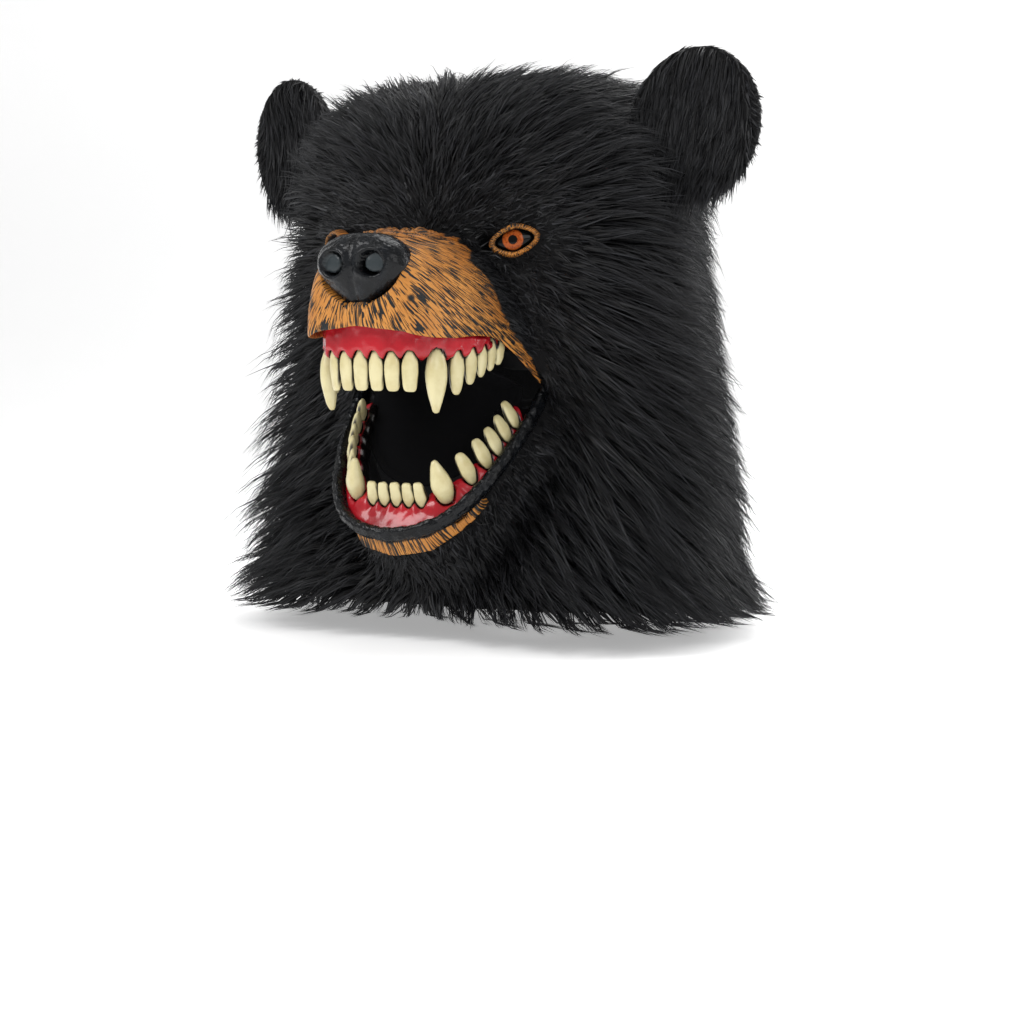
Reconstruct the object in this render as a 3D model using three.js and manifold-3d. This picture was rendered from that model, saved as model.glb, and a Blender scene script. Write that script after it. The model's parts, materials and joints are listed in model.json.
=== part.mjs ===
// Over-the-head bear mask: a padded hood in a coat of fur, with round ears and a moulded snarling muzzle.
// Millimetres, +Z up. The face looks along -Y. The origin is where the wearer's crown meets the hood.
import * as THREE from "three";
import { mergeVertices } from "three/addons/utils/BufferGeometryUtils.js";
import Module from "manifold-3d";

const wasm = await Module();
wasm.setup();

// Running clearance between neighbouring pieces
const GAP = 0.35;

// Hood: the padded foam wall, measured on its outer face
const FOAM_WALL = 10;
const HOOD_HEIGHT = 385;
const HEAD_HALF_WIDTH = 140;
const HEAD_FRONT = 104;
const HEAD_BACK = 118;
const HEAD_SQUARENESS = 2.9;

// Fur coat: fabric backing and the locks that stand on it
const FUR_BACKING = 2.2;
const LOCK_HEIGHT = 22;
const LOCKS_AROUND = 13;
const SHORT_FUR_HEIGHT = 4;
const FACE_FUR_ANGLE = THREE.MathUtils.degToRad(44);

// Space for the wearer's face, in front of the hood's round hollow
const FACE_HALF_WIDTH = 64;
const FACE_FRONT = HEAD_FRONT - FOAM_WALL;
const FACE_TOP = -30;
const FACE_BOTTOM = -238;

// Muzzle: moulded shell from the face to the upper lip
const MUZZLE_WALL = 4;
const MUZZLE_REACH = 193;
const MUZZLE_HALF_WIDTH = 56;
const MUZZLE_TOP = -99;
const MUZZLE_HEIGHT = 77;
const MUZZLE_SQUARENESS = 2.4;

// Nose pad, seated on the muzzle's tip
const NOSE_SEAT = 12;
const NOSE_BELOW_BRIDGE = 27;
const NOSE_WIDTH = 72;
const NOSE_HEIGHT = 56;
const NOSE_DEPTH = 36;
const NOSE_Y = -(MUZZLE_REACH - NOSE_SEAT);
const NOSE_Z = MUZZLE_TOP - NOSE_BELOW_BRIDGE;
const NOSTRIL_RADIUS = 10;
const NOSTRIL_SPACING = 17;
const NOSTRIL_DEPTH = 5;
const NOSTRIL_DROP = 2;

// Mouth: the lower jaw drops from the corner line by the gape angle
const CORNER_BEHIND_FACE = 42;
const CORNER_BELOW_MUZZLE = 36;
const CORNER_Y = -(HEAD_FRONT - CORNER_BEHIND_FACE);
const CORNER_Z = MUZZLE_TOP - MUZZLE_HEIGHT - CORNER_BELOW_MUZZLE;
const GAPE = THREE.MathUtils.degToRad(48);
const LOWER_LENGTH = 141;
const LOWER_HALF_WIDTH = 79;

// Jaw under the lip: its skin outside the lip, and how far it hangs below the lip's front
const JAW_CHEEK = 5;
const JAW_BELOW_LIP = 49;
const JAW_MIDDLE = 40;
const JAW_BACK = 25;
const JAW_SQUARENESS = 2.6;
const JAW_ABOVE_CORNER = 4;
const JAW_HALF_WIDTH = LOWER_HALF_WIDTH + JAW_CHEEK;
const JAW_DROP = LOWER_LENGTH * Math.sin(GAPE) + JAW_BELOW_LIP;
const JAW_REACH = LOWER_LENGTH * Math.cos(GAPE) - CORNER_Y;

// Upper tooth row: its half width, its front and the height of the gum edge
const ROW_BEHIND_TIP = 17;
const ROW_BESIDE_MUZZLE = 6;
const ROW_BEHIND_FACE = 12;
const GUM_BELOW_LIP = 11.5;
const UPPER_ROW_RISE = 9;
const UPPER_HALF_WIDTH = MUZZLE_HALF_WIDTH + ROW_BESIDE_MUZZLE;
const UPPER_FRONT = -(MUZZLE_REACH - ROW_BEHIND_TIP);
const UPPER_BACK = -(HEAD_FRONT - ROW_BEHIND_FACE);
const UPPER_GUM_EDGE = MUZZLE_TOP - MUZZLE_HEIGHT - GUM_BELOW_LIP;
const GUM_HEIGHT = 24;
const GUM_THICKNESS = 13;
const GUM_ROUND = 1;

// Lower gum bar and lip band
const ROW_INSIDE_LIP = 8;
const ROW_BEHIND_LIP = 28;
const LOWER_ROW_UP = 3;
const LOWER_LEAN_INWARDS = THREE.MathUtils.degToRad(19);
const LOWER_LEAN_FORWARD = THREE.MathUtils.degToRad(22);
const FRONT_TEETH_SHARE = 0.75;
const LOWER_ROW_HALF_WIDTH = LOWER_HALF_WIDTH - ROW_INSIDE_LIP;
const LOWER_ROW_LENGTH = LOWER_LENGTH - ROW_BEHIND_LIP;
const LOWER_GUM_HEIGHT = 14;
const GUM_INNER_EDGE = 8;
const LIP_WIDTH = 9;
const LIP_HEIGHT = 13;

// Teeth
const INCISOR_LENGTH = 26;
const INCISOR_WIDTH = 12.4;
const TOOTH_DEPTH = 8;
const UPPER_CANINE_LENGTH = 41;
const CANINE_WIDTH = 16;
const CANINE_DEPTH = 11;
const CHEEK_TOOTH_LENGTH = 29;
const LOWER_INCISOR_LENGTH = 15.5;
const LOWER_TOOTH_WIDTH = 9.7;
const LOWER_CANINE_LENGTH = 29;
const LOWER_CHEEK_TOOTH_LENGTH = 21;
const TOOTH_ROOT = 5;
const TOOTH_SIDES = 6;

// Eyes: centre on the face, turned outwards
const EYE_X = 76;
const EYE_Y = -HEAD_FRONT;
const EYE_Z = -107;
const EYE_YAW = THREE.MathUtils.degToRad(30);
const EYELID_WIDTH = 36;
const EYELID_HEIGHT = 24;
const EYELID_DEPTH = 6;
const EYE_WIDTH = 28;
const EYE_HEIGHT = 16;

// Vision holes between the muzzle and the eyes
const VISION_X = 49;
const VISION_Z = -107;
const VISION_WIDTH = 13;
const VISION_HEIGHT = 15;

// Ears
const EAR_RADIUS = 48.5;
const EAR_STRETCH = 1.2;
const EAR_OUT = 35;
const EAR_X = HEAD_HALF_WIDTH + EAR_OUT;
const EAR_Y = -14;
const EAR_Z = -24;
const EAR_YAW = THREE.MathUtils.degToRad(16);
const EAR_ROLL = THREE.MathUtils.degToRad(14);
const EAR_WALL = 10;

// Chin patch
const CHIN_HALF_WIDTH = 58;
const CHIN_HEIGHT = 19;
const CHIN_SKIN = 3;

// Mouth lining: its room swells between the rim and a smaller back
const LINING_WALL = 1.6;
const ROOM_SWELL = 24;
const ROOM_RIM = 8;
const ROOM_BACK_HALF_WIDTH = 40;
const ROOM_BACK_TOP = 36;
const ROOM_BACK_DROP = 34;
const ROOM_BACK_UPPER = 26;
const ROOM_BACK_LOWER = 20;

// Head sections, top to hem: [drop, half width, front, back] as shares of the head's named sizes
const HEAD_ROWS = [
  [0.0, 0.3, 0.31, 0.3],
  [0.012, 0.6, 0.6, 0.6],
  [0.04, 0.81, 0.8, 0.81],
  [0.1, 0.92, 0.92, 0.93],
  [0.19, 0.98, 0.98, 0.99],
  [0.29, 1.0, 1.0, 1.0],
  [0.37, 1.02, 0.97, 1.0],
  [0.46, 1.07, 0.84, 0.98],
  [0.6, 1.13, 0.7, 0.97],
  [0.76, 1.17, 0.72, 1.0],
  [0.9, 1.2, 0.93, 1.06],
  [1.0, 1.28, 1.12, 1.2],
];

// Lower jaw sections, corner to throat: [drop, half width, reach]
const JAW_ROWS = [
  [0.0, 1.0, 0.4],
  [0.1, 1.02, 0.48],
  [0.23, 1.0, 0.74],
  [0.39, 0.95, 0.87],
  [0.55, 0.8, 0.96],
  [0.68, 0.68, 1.0],
  [0.79, 0.62, 0.92],
  [0.88, 0.63, 0.82],
  [1.0, 0.72, 0.66],
];

// Muzzle sections, cheek to tip: [reach, half width, lip, top], the last two as shares of its height
const MUZZLE_ROWS = [
  [0.33, 1.38, 1.46, 0.14],
  [0.43, 1.34, 1.28, 0.08],
  [0.53, 1.27, 1.1, 0.04],
  [0.63, 1.22, 1.0, 0.01],
  [0.73, 1.15, 0.99, 0.0],
  [0.83, 1.06, 1.01, 0.03],
  [0.91, 0.95, 1.0, 0.07],
  [0.96, 0.8, 0.98, 0.13],
  [0.985, 0.58, 0.94, 0.2],
  [1.0, 0.26, 0.92, 0.3],
];

// Lower lip outline in the jaw plane: [half width, distance from the corner line]
const LOWER_OUTLINE = [
  [1.0, 0.0],
  [0.99, 0.16],
  [0.96, 0.32],
  [0.9, 0.47],
  [0.83, 0.61],
  [0.7, 0.78],
  [0.49, 0.92],
  [0.2, 0.985],
  [0.0, 1.0],
];

// Lower tooth row in the jaw plane: [half width, distance from the corner line]
const LOWER_ROW_OUTLINE = [
  [0.945, 0.2],
  [0.94, 0.32],
  [0.905, 0.48],
  [0.83, 0.64],
  [0.72, 0.79],
  [0.62, 0.885],
  [0.52, 0.95],
  [0.4, 0.985],
  [0.2, 1.0],
  [0.0, 1.0],
];

// Upper tooth row seen from above: [half width, distance from back to front]
const UPPER_OUTLINE = [
  [1.0, 0.0],
  [0.97, 0.2],
  [0.91, 0.42],
  [0.82, 0.62],
  [0.68, 0.83],
  [0.48, 0.96],
  [0.22, 1.0],
  [0.0, 1.0],
];

// Rows of fur locks, crown to hem: [drop of the roots, reach of the locks]
const LOCK_ROWS = [
  [0.0, 0.08],
  [0.06, 0.13],
  [0.16, 0.16],
  [0.29, 0.17],
  [0.43, 0.18],
  [0.57, 0.18],
  [0.71, 0.18],
  [0.85, 0.15],
];

// Tooth forms, root to tip: [height, half width, half depth, lean]
const INCISOR_FORM = [
  [-1, 0.36, 0.4, 0],
  [0.45, 0.5, 0.46, 0.02],
  [0.86, 0.44, 0.3, 0.0],
  [1.0, 0.27, 0.14, -0.03],
];
const CANINE_FORM = [
  [-1, 0.44, 0.5, 0],
  [0.0, 0.5, 0.56, 0],
  [0.3, 0.47, 0.52, 0.05],
  [0.62, 0.38, 0.4, 0.04],
  [0.86, 0.26, 0.27, 0.0],
  [1.0, 0.12, 0.13, -0.03],
];

// Places of the teeth on half a row, middle to back: [share of the half row, length, width]
const UPPER_INCISORS = [0.054, 0.16, 0.265];
const UPPER_CANINE = 0.415;
const UPPER_CHEEKS = [
  [0.56, 1.0, 1.0],
  [0.665, 0.82, 0.9],
  [0.755, 0.72, 0.8],
  [0.84, 0.65, 0.76],
  [0.92, 0.56, 0.75],
];
const LOWER_INCISORS = [0, 0.08, 0.158];
const LOWER_CANINE = 0.3;
const LOWER_CHEEKS = [
  [0.47, 1.0, 1.0],
  [0.595, 0.92, 0.95],
  [0.695, 0.86, 0.9],
  [0.79, 0.84, 0.9],
  [0.89, 0.84, 0.9],
];

// Colours from the photograph
const FOAM = 0x1b1b1c;
const BLACK_FUR = 0x141416;
const TAN = 0xc88f4b;
const NOSE_BLACK = 0x17181b;
const GUM_RED = 0xb4252c;
const IVORY = 0xe2d7a8;
const LIP_BLACK = 0x111214;
const LINING_BLACK = 0x08080a;
const IRIS_BROWN = 0x9c4a1e;

const sides = [
  ["left", 1],
  ["right", -1],
];
const vec = (x, y, z) => new THREE.Vector3(x, y, z);

// A three.js geometry as a solid that can be joined and cut
function solid(geometry) {
  const bare = geometry.clone();
  bare.deleteAttribute("normal");
  bare.deleteAttribute("uv");
  const merged = mergeVertices(bare, 1e-4);
  return new wasm.Manifold(
    new wasm.Mesh({
      numProp: 3,
      vertProperties: new Float32Array(merged.attributes.position.array),
      triVerts: new Uint32Array(merged.index.array),
    }),
  );
}

function geometryOf(body) {
  const mesh = body.getMesh();
  const geometry = new THREE.BufferGeometry();
  geometry.setAttribute("position", new THREE.BufferAttribute(mesh.vertProperties, 3));
  geometry.setIndex(new THREE.BufferAttribute(mesh.triVerts, 1));
  geometry.computeVertexNormals();
  return geometry;
}

// The main body of a cut solid, without the slivers that a cut leaves beside it
const mainBody = (body) => body.decompose().reduce((best, one) => (one.volume() > best.volume() ? one : best));

const group = new THREE.Group();

function place(name, cut, color, roughness) {
  const body = mainBody(cut);
  const material = new THREE.MeshStandardMaterial({ color, roughness, metalness: 0 });
  const mesh = new THREE.Mesh(geometryOf(body), material);
  mesh.name = name;
  group.add(mesh);
  return mesh;
}

// A closed skin through rings of points, capped at both ends; turns itself the right way out
function loft(rings) {
  const count = rings[0].length;
  const points = rings.flat();
  const faces = [];
  for (let i = 0; i + 1 < rings.length; i++) {
    for (let j = 0; j < count; j++) {
      const next = (j + 1) % count;
      const a = i * count + j;
      const b = i * count + next;
      faces.push(a, b, b + count, a, b + count, a + count);
    }
  }
  for (const [ring, flip] of [[0, true], [rings.length - 1, false]]) {
    const start = ring * count;
    for (let j = 1; j + 1 < count; j++) {
      faces.push(...(flip ? [start, start + j + 1, start + j] : [start, start + j, start + j + 1]));
    }
  }
  const volume = faces.reduce((sum, _, k) => {
    if (k % 3) return sum;
    const [a, b, c] = [points[faces[k]], points[faces[k + 1]], points[faces[k + 2]]];
    return sum + a.dot(b.clone().cross(c));
  }, 0);
  if (volume < 0) faces.reverse();
  const geometry = new THREE.BufferGeometry().setFromPoints(points);
  geometry.setIndex(faces);
  return solid(geometry);
}

// Smooth value of one column of a table at a share along its first column
function column(rows, index, at) {
  let k = 0;
  while (k + 2 < rows.length && rows[k + 1][0] < at) k++;
  const [before, from, to, after] = [
    rows[Math.max(k - 1, 0)],
    rows[k],
    rows[k + 1],
    rows[Math.min(k + 2, rows.length - 1)],
  ];
  const span = to[0] - from[0];
  const share = (at - from[0]) / span;
  const slopeFrom = (span * (to[index] - before[index])) / (to[0] - before[0]);
  const slopeTo = (span * (after[index] - from[index])) / (after[0] - from[0]);
  const square = share * share;
  const cube = square * share;
  return (
    (2 * cube - 3 * square + 1) * from[index] +
    (cube - 2 * square + share) * slopeFrom +
    (3 * square - 2 * cube) * to[index] +
    (cube - square) * slopeTo
  );
}

const seatOfFur = GAP + FUR_BACKING;
const signedPower = (value, power) => Math.sign(value) * Math.abs(value) ** power;

// A point of the head's skin: drop from crown to hem, angle from the face, offset outwards
function headPoint(drop, angle, offset) {
  const power = 2 / HEAD_SQUARENESS;
  const halfWidth = column(HEAD_ROWS, 1, drop) * HEAD_HALF_WIDTH + offset;
  const front = column(HEAD_ROWS, 2, drop) * HEAD_FRONT + offset;
  const back = column(HEAD_ROWS, 3, drop) * HEAD_BACK + offset;
  const forward = signedPower(Math.cos(angle), power);
  return vec(
    halfWidth * signedPower(Math.sin(angle), power),
    -forward * (forward > 0 ? front : back),
    FOAM_WALL + offset - drop * (HOOD_HEIGHT + offset),
  );
}

const AROUND = 18;

function ringAngles(count) {
  return Array.from({ length: count }, (_, k) => (2 * Math.PI * k) / count);
}

function headSolid(offset, tail = 0) {
  const rings = HEAD_ROWS.map(([drop]) => ringAngles(AROUND).map((a) => headPoint(drop, a, offset)));
  if (tail) rings.push(rings.at(-1).map((p) => p.clone().setZ(p.z - tail)));
  return loft(rings);
}

// The lower jaw's outer form, from the mouth corners to the throat
function jawSolid(offset) {
  const middle = -JAW_MIDDLE;
  const power = 2 / JAW_SQUARENESS;
  return loft(
    JAW_ROWS.map(([drop, width, reach]) =>
      ringAngles(14).map((angle) => {
        const forward = signedPower(Math.cos(angle), power);
        const front = JAW_REACH * reach + middle + offset;
        return vec(
          (JAW_HALF_WIDTH * width + offset) * signedPower(Math.sin(angle), power),
          middle - forward * (forward > 0 ? front : JAW_BACK),
          CORNER_Z + offset + JAW_ABOVE_CORNER - drop * (JAW_DROP + 2 * offset),
        );
      }),
    ),
  );
}

const skin = (offset) => headSolid(offset).add(jawSolid(offset));

// Room for the wearer's face
function faceRoom() {
  const levels = [0, 0.12, 0.5, 0.88, 1];
  const swell = [0.7, 0.95, 1, 0.95, 0.8];
  return loft(
    levels.map((level, k) =>
      ringAngles(14).map((angle) =>
        vec(
          FACE_HALF_WIDTH * swell[k] * signedPower(Math.sin(angle), 0.8),
          -FACE_FRONT * swell[k] * Math.max(signedPower(Math.cos(angle), 0.8), 0) +
            FOAM_WALL * Math.max(-Math.cos(angle), 0),
          THREE.MathUtils.lerp(FACE_TOP, FACE_BOTTOM, level),
        ),
      ),
    ),
  );
}

// The muzzle's outer form; deeper rows open it below for the mouth
function muzzleSolid(offset, deeper = 0) {
  const power = 2 / MUZZLE_SQUARENESS;
  const steps = 10;
  return loft(
    MUZZLE_ROWS.map(([reach, width, lip, top]) => {
      const y = -MUZZLE_REACH * reach - (reach > 0.5 ? offset : 0);
      const zTop = MUZZLE_TOP - top * MUZZLE_HEIGHT + offset;
      const zLip = MUZZLE_TOP - lip * MUZZLE_HEIGHT - deeper;
      return Array.from({ length: steps + 1 }, (_, k) => {
        const angle = -Math.PI / 2 + (Math.PI * k) / steps;
        return vec(
          (MUZZLE_HALF_WIDTH * width + offset) * signedPower(Math.sin(angle), power),
          y,
          zLip + (zTop - zLip) * signedPower(Math.cos(angle), power),
        );
      });
    }),
  );
}

// The lower jaw's plane: X across, "along" from the corner line to the chin, "up" off the plane
const jawAlong = vec(0, -Math.cos(GAPE), -Math.sin(GAPE));
const jawUp = vec(0, -Math.sin(GAPE), Math.cos(GAPE));
function jawPoint(across, along, up) {
  return vec(across, CORNER_Y, CORNER_Z).addScaledVector(jawAlong, along).addScaledVector(jawUp, up);
}

// A symmetric outline from its half: right corner, front, left corner
function mirrored(half, width, length) {
  const right = half.map(([across, along]) => new THREE.Vector2(-across * width, along * length));
  const left = half.slice(0, -1).map(([across, along]) => new THREE.Vector2(across * width, along * length));
  return new THREE.SplineCurve([...right, ...left.reverse()]);
}
const lowerOutline = mirrored(LOWER_OUTLINE, LOWER_HALF_WIDTH, LOWER_LENGTH);
const upperOutline = mirrored(UPPER_OUTLINE, UPPER_HALF_WIDTH, UPPER_BACK - UPPER_FRONT);

// A place on an outline, moved inwards, with its outward direction
function onOutline(curve, share, inset) {
  const point = curve.getPointAt(share);
  const tangent = curve.getTangentAt(share);
  const outward = new THREE.Vector2(-tangent.y, tangent.x);
  return { point: point.addScaledVector(outward, -inset), outward };
}
const lowerPlace = (share, inset) => {
  const { point, outward } = onOutline(lowerOutline, share, inset);
  return {
    centre: jawPoint(point.x, point.y, 0),
    outward: vec(outward.x, 0, 0).addScaledVector(jawAlong, outward.y),
    crown: jawUp,
  };
};
const upperPlace = (share, inset) => {
  const { point, outward } = onOutline(upperOutline, share, inset);
  const rise = UPPER_ROW_RISE * THREE.MathUtils.smoothstep(Math.abs(2 * share - 1), 0.5, 1);
  return {
    centre: vec(point.x, UPPER_BACK - point.y, UPPER_GUM_EDGE + rise),
    outward: vec(outward.x, -outward.y, 0),
    crown: vec(0, 0, -1),
  };
};

// Moves the first and last rings outwards, so that a grown bar is longer too
function lengthened(rings, grow) {
  const middle = (ring) => ring.reduce((sum, p) => sum.addScaledVector(p, 1 / ring.length), new THREE.Vector3());
  for (const [end, next] of [[0, 1], [rings.length - 1, rings.length - 2]]) {
    const away = middle(rings[end]).sub(middle(rings[next])).normalize();
    rings[end].forEach((p) => p.addScaledVector(away, grow));
  }
  return rings;
}

// A bar swept along part of an outline, its section given as [outwards, towards the crown]
function bar(placeAt, steps, section, grow = 0) {
  const rings = [];
  for (let k = 0; k <= steps; k++) {
    const { centre, outward, crown } = placeAt(k / steps, 0);
    rings.push(section.map(([out, up]) => centre.clone().addScaledVector(outward, out).addScaledVector(crown, up)));
  }
  return loft(lengthened(rings, grow));
}

function ovalSection(width, height, sides, grow) {
  return ringAngles(sides).map((angle) => [
    (width / 2 + grow) * Math.cos(angle),
    (height / 2 + grow) * Math.sin(angle),
  ]);
}

const lowerRow = mirrored(LOWER_ROW_OUTLINE, LOWER_ROW_HALF_WIDTH, LOWER_ROW_LENGTH);
const lowerRowPlace = (share, inset) => {
  const { point, outward } = onOutline(lowerRow, share, inset);
  return {
    centre: jawPoint(point.x, point.y, LOWER_ROW_UP),
    outward: vec(outward.x, 0, 0).addScaledVector(jawAlong, outward.y),
    crown: jawUp,
  };
};

// The lower teeth stand steeper than the jaw, and the side ones lean into the mouth
const lowerToothPlace = (share, inset) => {
  const { centre, outward } = lowerRowPlace(share, inset);
  const aside = THREE.MathUtils.clamp(centre.x / (LOWER_ROW_HALF_WIDTH * FRONT_TEETH_SHARE), -1, 1);
  const crown = vec(-aside * Math.abs(aside) * Math.tan(LOWER_LEAN_INWARDS), -Math.tan(LOWER_LEAN_FORWARD), 1).normalize();
  return { centre, outward: outward.addScaledVector(crown, -outward.dot(crown)).normalize(), crown };
};

// A tooth lofted on its seat, its root held in a socket
function toothSolid({ form, width, depth, length }, seat, grow) {
  const side = seat.outward.clone().cross(seat.crown).normalize();
  return loft(
    form.map(([height, halfWidth, halfDepth, lean]) => {
      const rise = height < 0 ? -TOOTH_ROOT - grow : length * height;
      const centre = seat.centre.clone().addScaledVector(seat.crown, rise);
      centre.addScaledVector(seat.outward, lean * length);
      return ringAngles(TOOTH_SIDES).map((angle) =>
        centre
          .clone()
          .addScaledVector(side, (width * halfWidth + grow) * signedPower(Math.cos(angle), 0.8))
          .addScaledVector(seat.outward, (depth * halfDepth + grow) * signedPower(Math.sin(angle), 0.8)),
      );
    }),
  );
}

// The teeth of one jaw: each one placed on its row, with its body and its socket
function toothRow(prefix, placeAt, incisors, canine, cheeks, sizes) {
  const teeth = [];
  const add = (name, half, tooth) => {
    const seat = placeAt(0.5 + half / 2, 0);
    const body = toothSolid(tooth, seat, 0);
    teeth.push({ name: `${prefix}_${name}`, body, socket: toothSolid(tooth, seat, GAP) });
  };
  const across = incisors.flatMap((share) => (share ? [-share, share] : [0])).sort((a, b) => a - b);
  across.forEach((half, k) => add(`incisor_${k + 1}`, half, sizes.incisor));
  for (const [side, sign] of sides) {
    add(`canine_${side}`, sign * canine, sizes.canine);
    cheeks.forEach(([half, tall, wide], k) => {
      const { cheek } = sizes;
      const tooth = { ...cheek, length: cheek.length * tall, width: cheek.width * wide };
      add(`cheek_tooth_${side}_${k + 1}`, sign * half, tooth);
    });
  }
  return teeth;
}

const upperTeeth = toothRow("upper", upperPlace, UPPER_INCISORS, UPPER_CANINE, UPPER_CHEEKS, {
  incisor: { form: INCISOR_FORM, width: INCISOR_WIDTH, depth: TOOTH_DEPTH, length: INCISOR_LENGTH },
  canine: { form: CANINE_FORM, width: CANINE_WIDTH, depth: CANINE_DEPTH, length: UPPER_CANINE_LENGTH },
  cheek: { form: INCISOR_FORM, width: INCISOR_WIDTH, depth: TOOTH_DEPTH, length: CHEEK_TOOTH_LENGTH },
});
const lowerTeeth = toothRow("lower", lowerToothPlace, LOWER_INCISORS, LOWER_CANINE, LOWER_CHEEKS, {
  incisor: { form: INCISOR_FORM, width: LOWER_TOOTH_WIDTH, depth: TOOTH_DEPTH, length: LOWER_INCISOR_LENGTH },
  canine: { form: CANINE_FORM, width: CANINE_WIDTH, depth: CANINE_DEPTH, length: LOWER_CANINE_LENGTH },
  cheek: { form: INCISOR_FORM, width: INCISOR_WIDTH, depth: TOOTH_DEPTH, length: LOWER_CHEEK_TOOTH_LENGTH },
});
const cutAll = (body, cutters) => cutters.reduce((rest, cutter) => rest.subtract(cutter), body);

// Upper gum: a bar behind the lip, with a socket for each tooth
const upperGumSection = [
  [GUM_THICKNESS / 2, -GUM_HEIGHT],
  [GUM_THICKNESS / 2, -2 * GUM_ROUND],
  [0, GUM_ROUND],
  [-GUM_THICKNESS / 2, -2 * GUM_ROUND],
  [-GUM_THICKNESS / 2, -GUM_HEIGHT],
];
const upperGum = bar(upperPlace, 14, upperGumSection);

// Lip band round the lower jaw
const lowerLip = (grow) => bar(lowerPlace, 20, ovalSection(LIP_WIDTH, LIP_HEIGHT, 6, grow), grow);

// Lower gum: fills the rim from inside the tooth row out to the lip
function lowerGumSolid(grow) {
  const steps = 16;
  const rings = Array.from({ length: steps + 1 }, (_, k) => {
    const share = k / steps;
    const row = lowerRowPlace(share, 0);
    const lip = lowerPlace(THREE.MathUtils.lerp(0.09, 0.91, share), LIP_WIDTH / 2 + GAP);
    const inner = row.centre.clone().addScaledVector(row.outward, -GUM_INNER_EDGE - grow);
    const outer = lip.centre.clone().addScaledVector(lip.outward, grow);
    const up = (point, rise) => point.clone().addScaledVector(jawUp, rise);
    return [
      up(inner, -LOWER_GUM_HEIGHT - grow),
      up(inner, -3 * GUM_ROUND),
      up(inner.clone().lerp(row.centre, 0.5), GUM_ROUND + grow),
      up(row.centre.clone().lerp(outer, 0.3), GUM_ROUND + grow),
      up(outer, grow - GUM_ROUND),
      up(outer, -LOWER_GUM_HEIGHT - grow),
    ];
  });
  return loft(lengthened(rings, grow));
}

// Open mouth: the wedge between the jaws
function mouthWedge() {
  const far = 1.4 * MUZZLE_REACH;
  const profile = new THREE.Shape([
    new THREE.Vector2(-CORNER_Y, CORNER_Z),
    new THREE.Vector2(-CORNER_Y + far * Math.cos(GAPE), CORNER_Z - far * Math.sin(GAPE)),
    new THREE.Vector2(-CORNER_Y + far, UPPER_GUM_EDGE),
    new THREE.Vector2(ROW_BEHIND_FACE - UPPER_BACK + ROOM_RIM, UPPER_GUM_EDGE),
    new THREE.Vector2(-CORNER_Y, CORNER_Z + LIP_HEIGHT / 2),
  ]);
  const width = 2 * LOWER_HALF_WIDTH + LIP_WIDTH;
  const wedge = new THREE.ExtrudeGeometry(profile, { depth: width, bevelEnabled: false });
  wedge.translate(0, 0, -width / 2);
  wedge.applyMatrix4(new THREE.Matrix4().makeBasis(vec(0, -1, 0), vec(0, 0, 1), vec(-1, 0, 0)));
  return solid(wedge);
}

// The room inside the mouth: rings from the rim between the gums to a rounded back
function mouthRoom(grow, open = 0) {
  const upperBack = { y: CORNER_Y - ROOM_BACK_UPPER, z: CORNER_Z + ROOM_BACK_TOP };
  const lowerBack = { y: CORNER_Y - ROOM_BACK_LOWER, z: CORNER_Z - ROOM_BACK_DROP };
  const rimReach = LOWER_ROW_LENGTH - 3 * ROOM_RIM - GUM_INNER_EDGE + LINING_WALL * 2;
  const ring = (share) =>
    ringAngles(18).map((angle) => {
      const across = Math.cos(angle);
      const height = Math.sin(angle);
      const above = height >= 0;
      const rim = above
        ? vec(
            (UPPER_HALF_WIDTH + ROOM_RIM / 2) * across * (1 - 0.24 * Math.min(1, 2.2 * height)),
            CORNER_Y - ROOM_RIM - (CORNER_Y - UPPER_FRONT - ROOM_SWELL) * height,
            CORNER_Z + CORNER_BELOW_MUZZLE * height,
          )
        : jawPoint((LOWER_ROW_HALF_WIDTH - ROOM_RIM / 2) * across, ROOM_RIM - rimReach * height, ROOM_RIM * height);
      const end = above ? upperBack : lowerBack;
      const size = Math.abs(height);
      const back = vec(
        ROOM_BACK_HALF_WIDTH * across,
        THREE.MathUtils.lerp(CORNER_Y - ROOM_RIM / 2, end.y, size),
        THREE.MathUtils.lerp(CORNER_Z, end.z, size),
      );
      const outwards = vec(across, 0, height * (above ? 1 : 1.6));
      const swell = ROOM_SWELL * Math.max(share, 0) * (1 - share);
      return rim.lerp(back, share).addScaledVector(outwards, grow + swell).add(vec(0, grow, 0));
    });
  return loft([-0.35 * open, 0, 0.35, 0.8, 1].map(ring));
}

// Eyes: a frame on the face for each, its local Z out of the face
function eyeFrame(sign) {
  const upright = new THREE.Matrix4().makeRotationX(Math.PI / 2);
  const turn = new THREE.Matrix4().makeRotationZ(sign * EYE_YAW);
  const move = new THREE.Matrix4().makeTranslation(sign * EYE_X, EYE_Y, EYE_Z);
  return move.multiply(turn).multiply(upright);
}
const moved = (body, matrix) => solid(geometryOf(body).applyMatrix4(matrix));

// An almond plate from rings given as [width, height, out], its outer corner raised to a point
function almond(rings, sign) {
  return loft(
    rings.map(([width, height, out]) =>
      ringAngles(16).map((angle) => {
        const across = Math.cos(angle);
        const pointed = 1 - 0.25 * Math.abs(across);
        return vec(
          (sign * width * across) / 2,
          (height / 2) * Math.sin(angle) * pointed + 0.08 * width * across,
          out,
        );
      }),
    ),
  );
}
const lidSolid = (sign, grow) =>
  almond(
    [
      [EYELID_WIDTH + 2 * grow, EYELID_HEIGHT + 2 * grow, -EYELID_DEPTH - grow],
      [EYELID_WIDTH + 2 * grow, EYELID_HEIGHT + 2 * grow, EYELID_DEPTH * 0.2 + grow],
      [EYELID_WIDTH * 0.86 + 2 * grow, EYELID_HEIGHT * 0.84 + 2 * grow, EYELID_DEPTH * 0.5 + grow],
    ],
    sign,
  );
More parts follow.
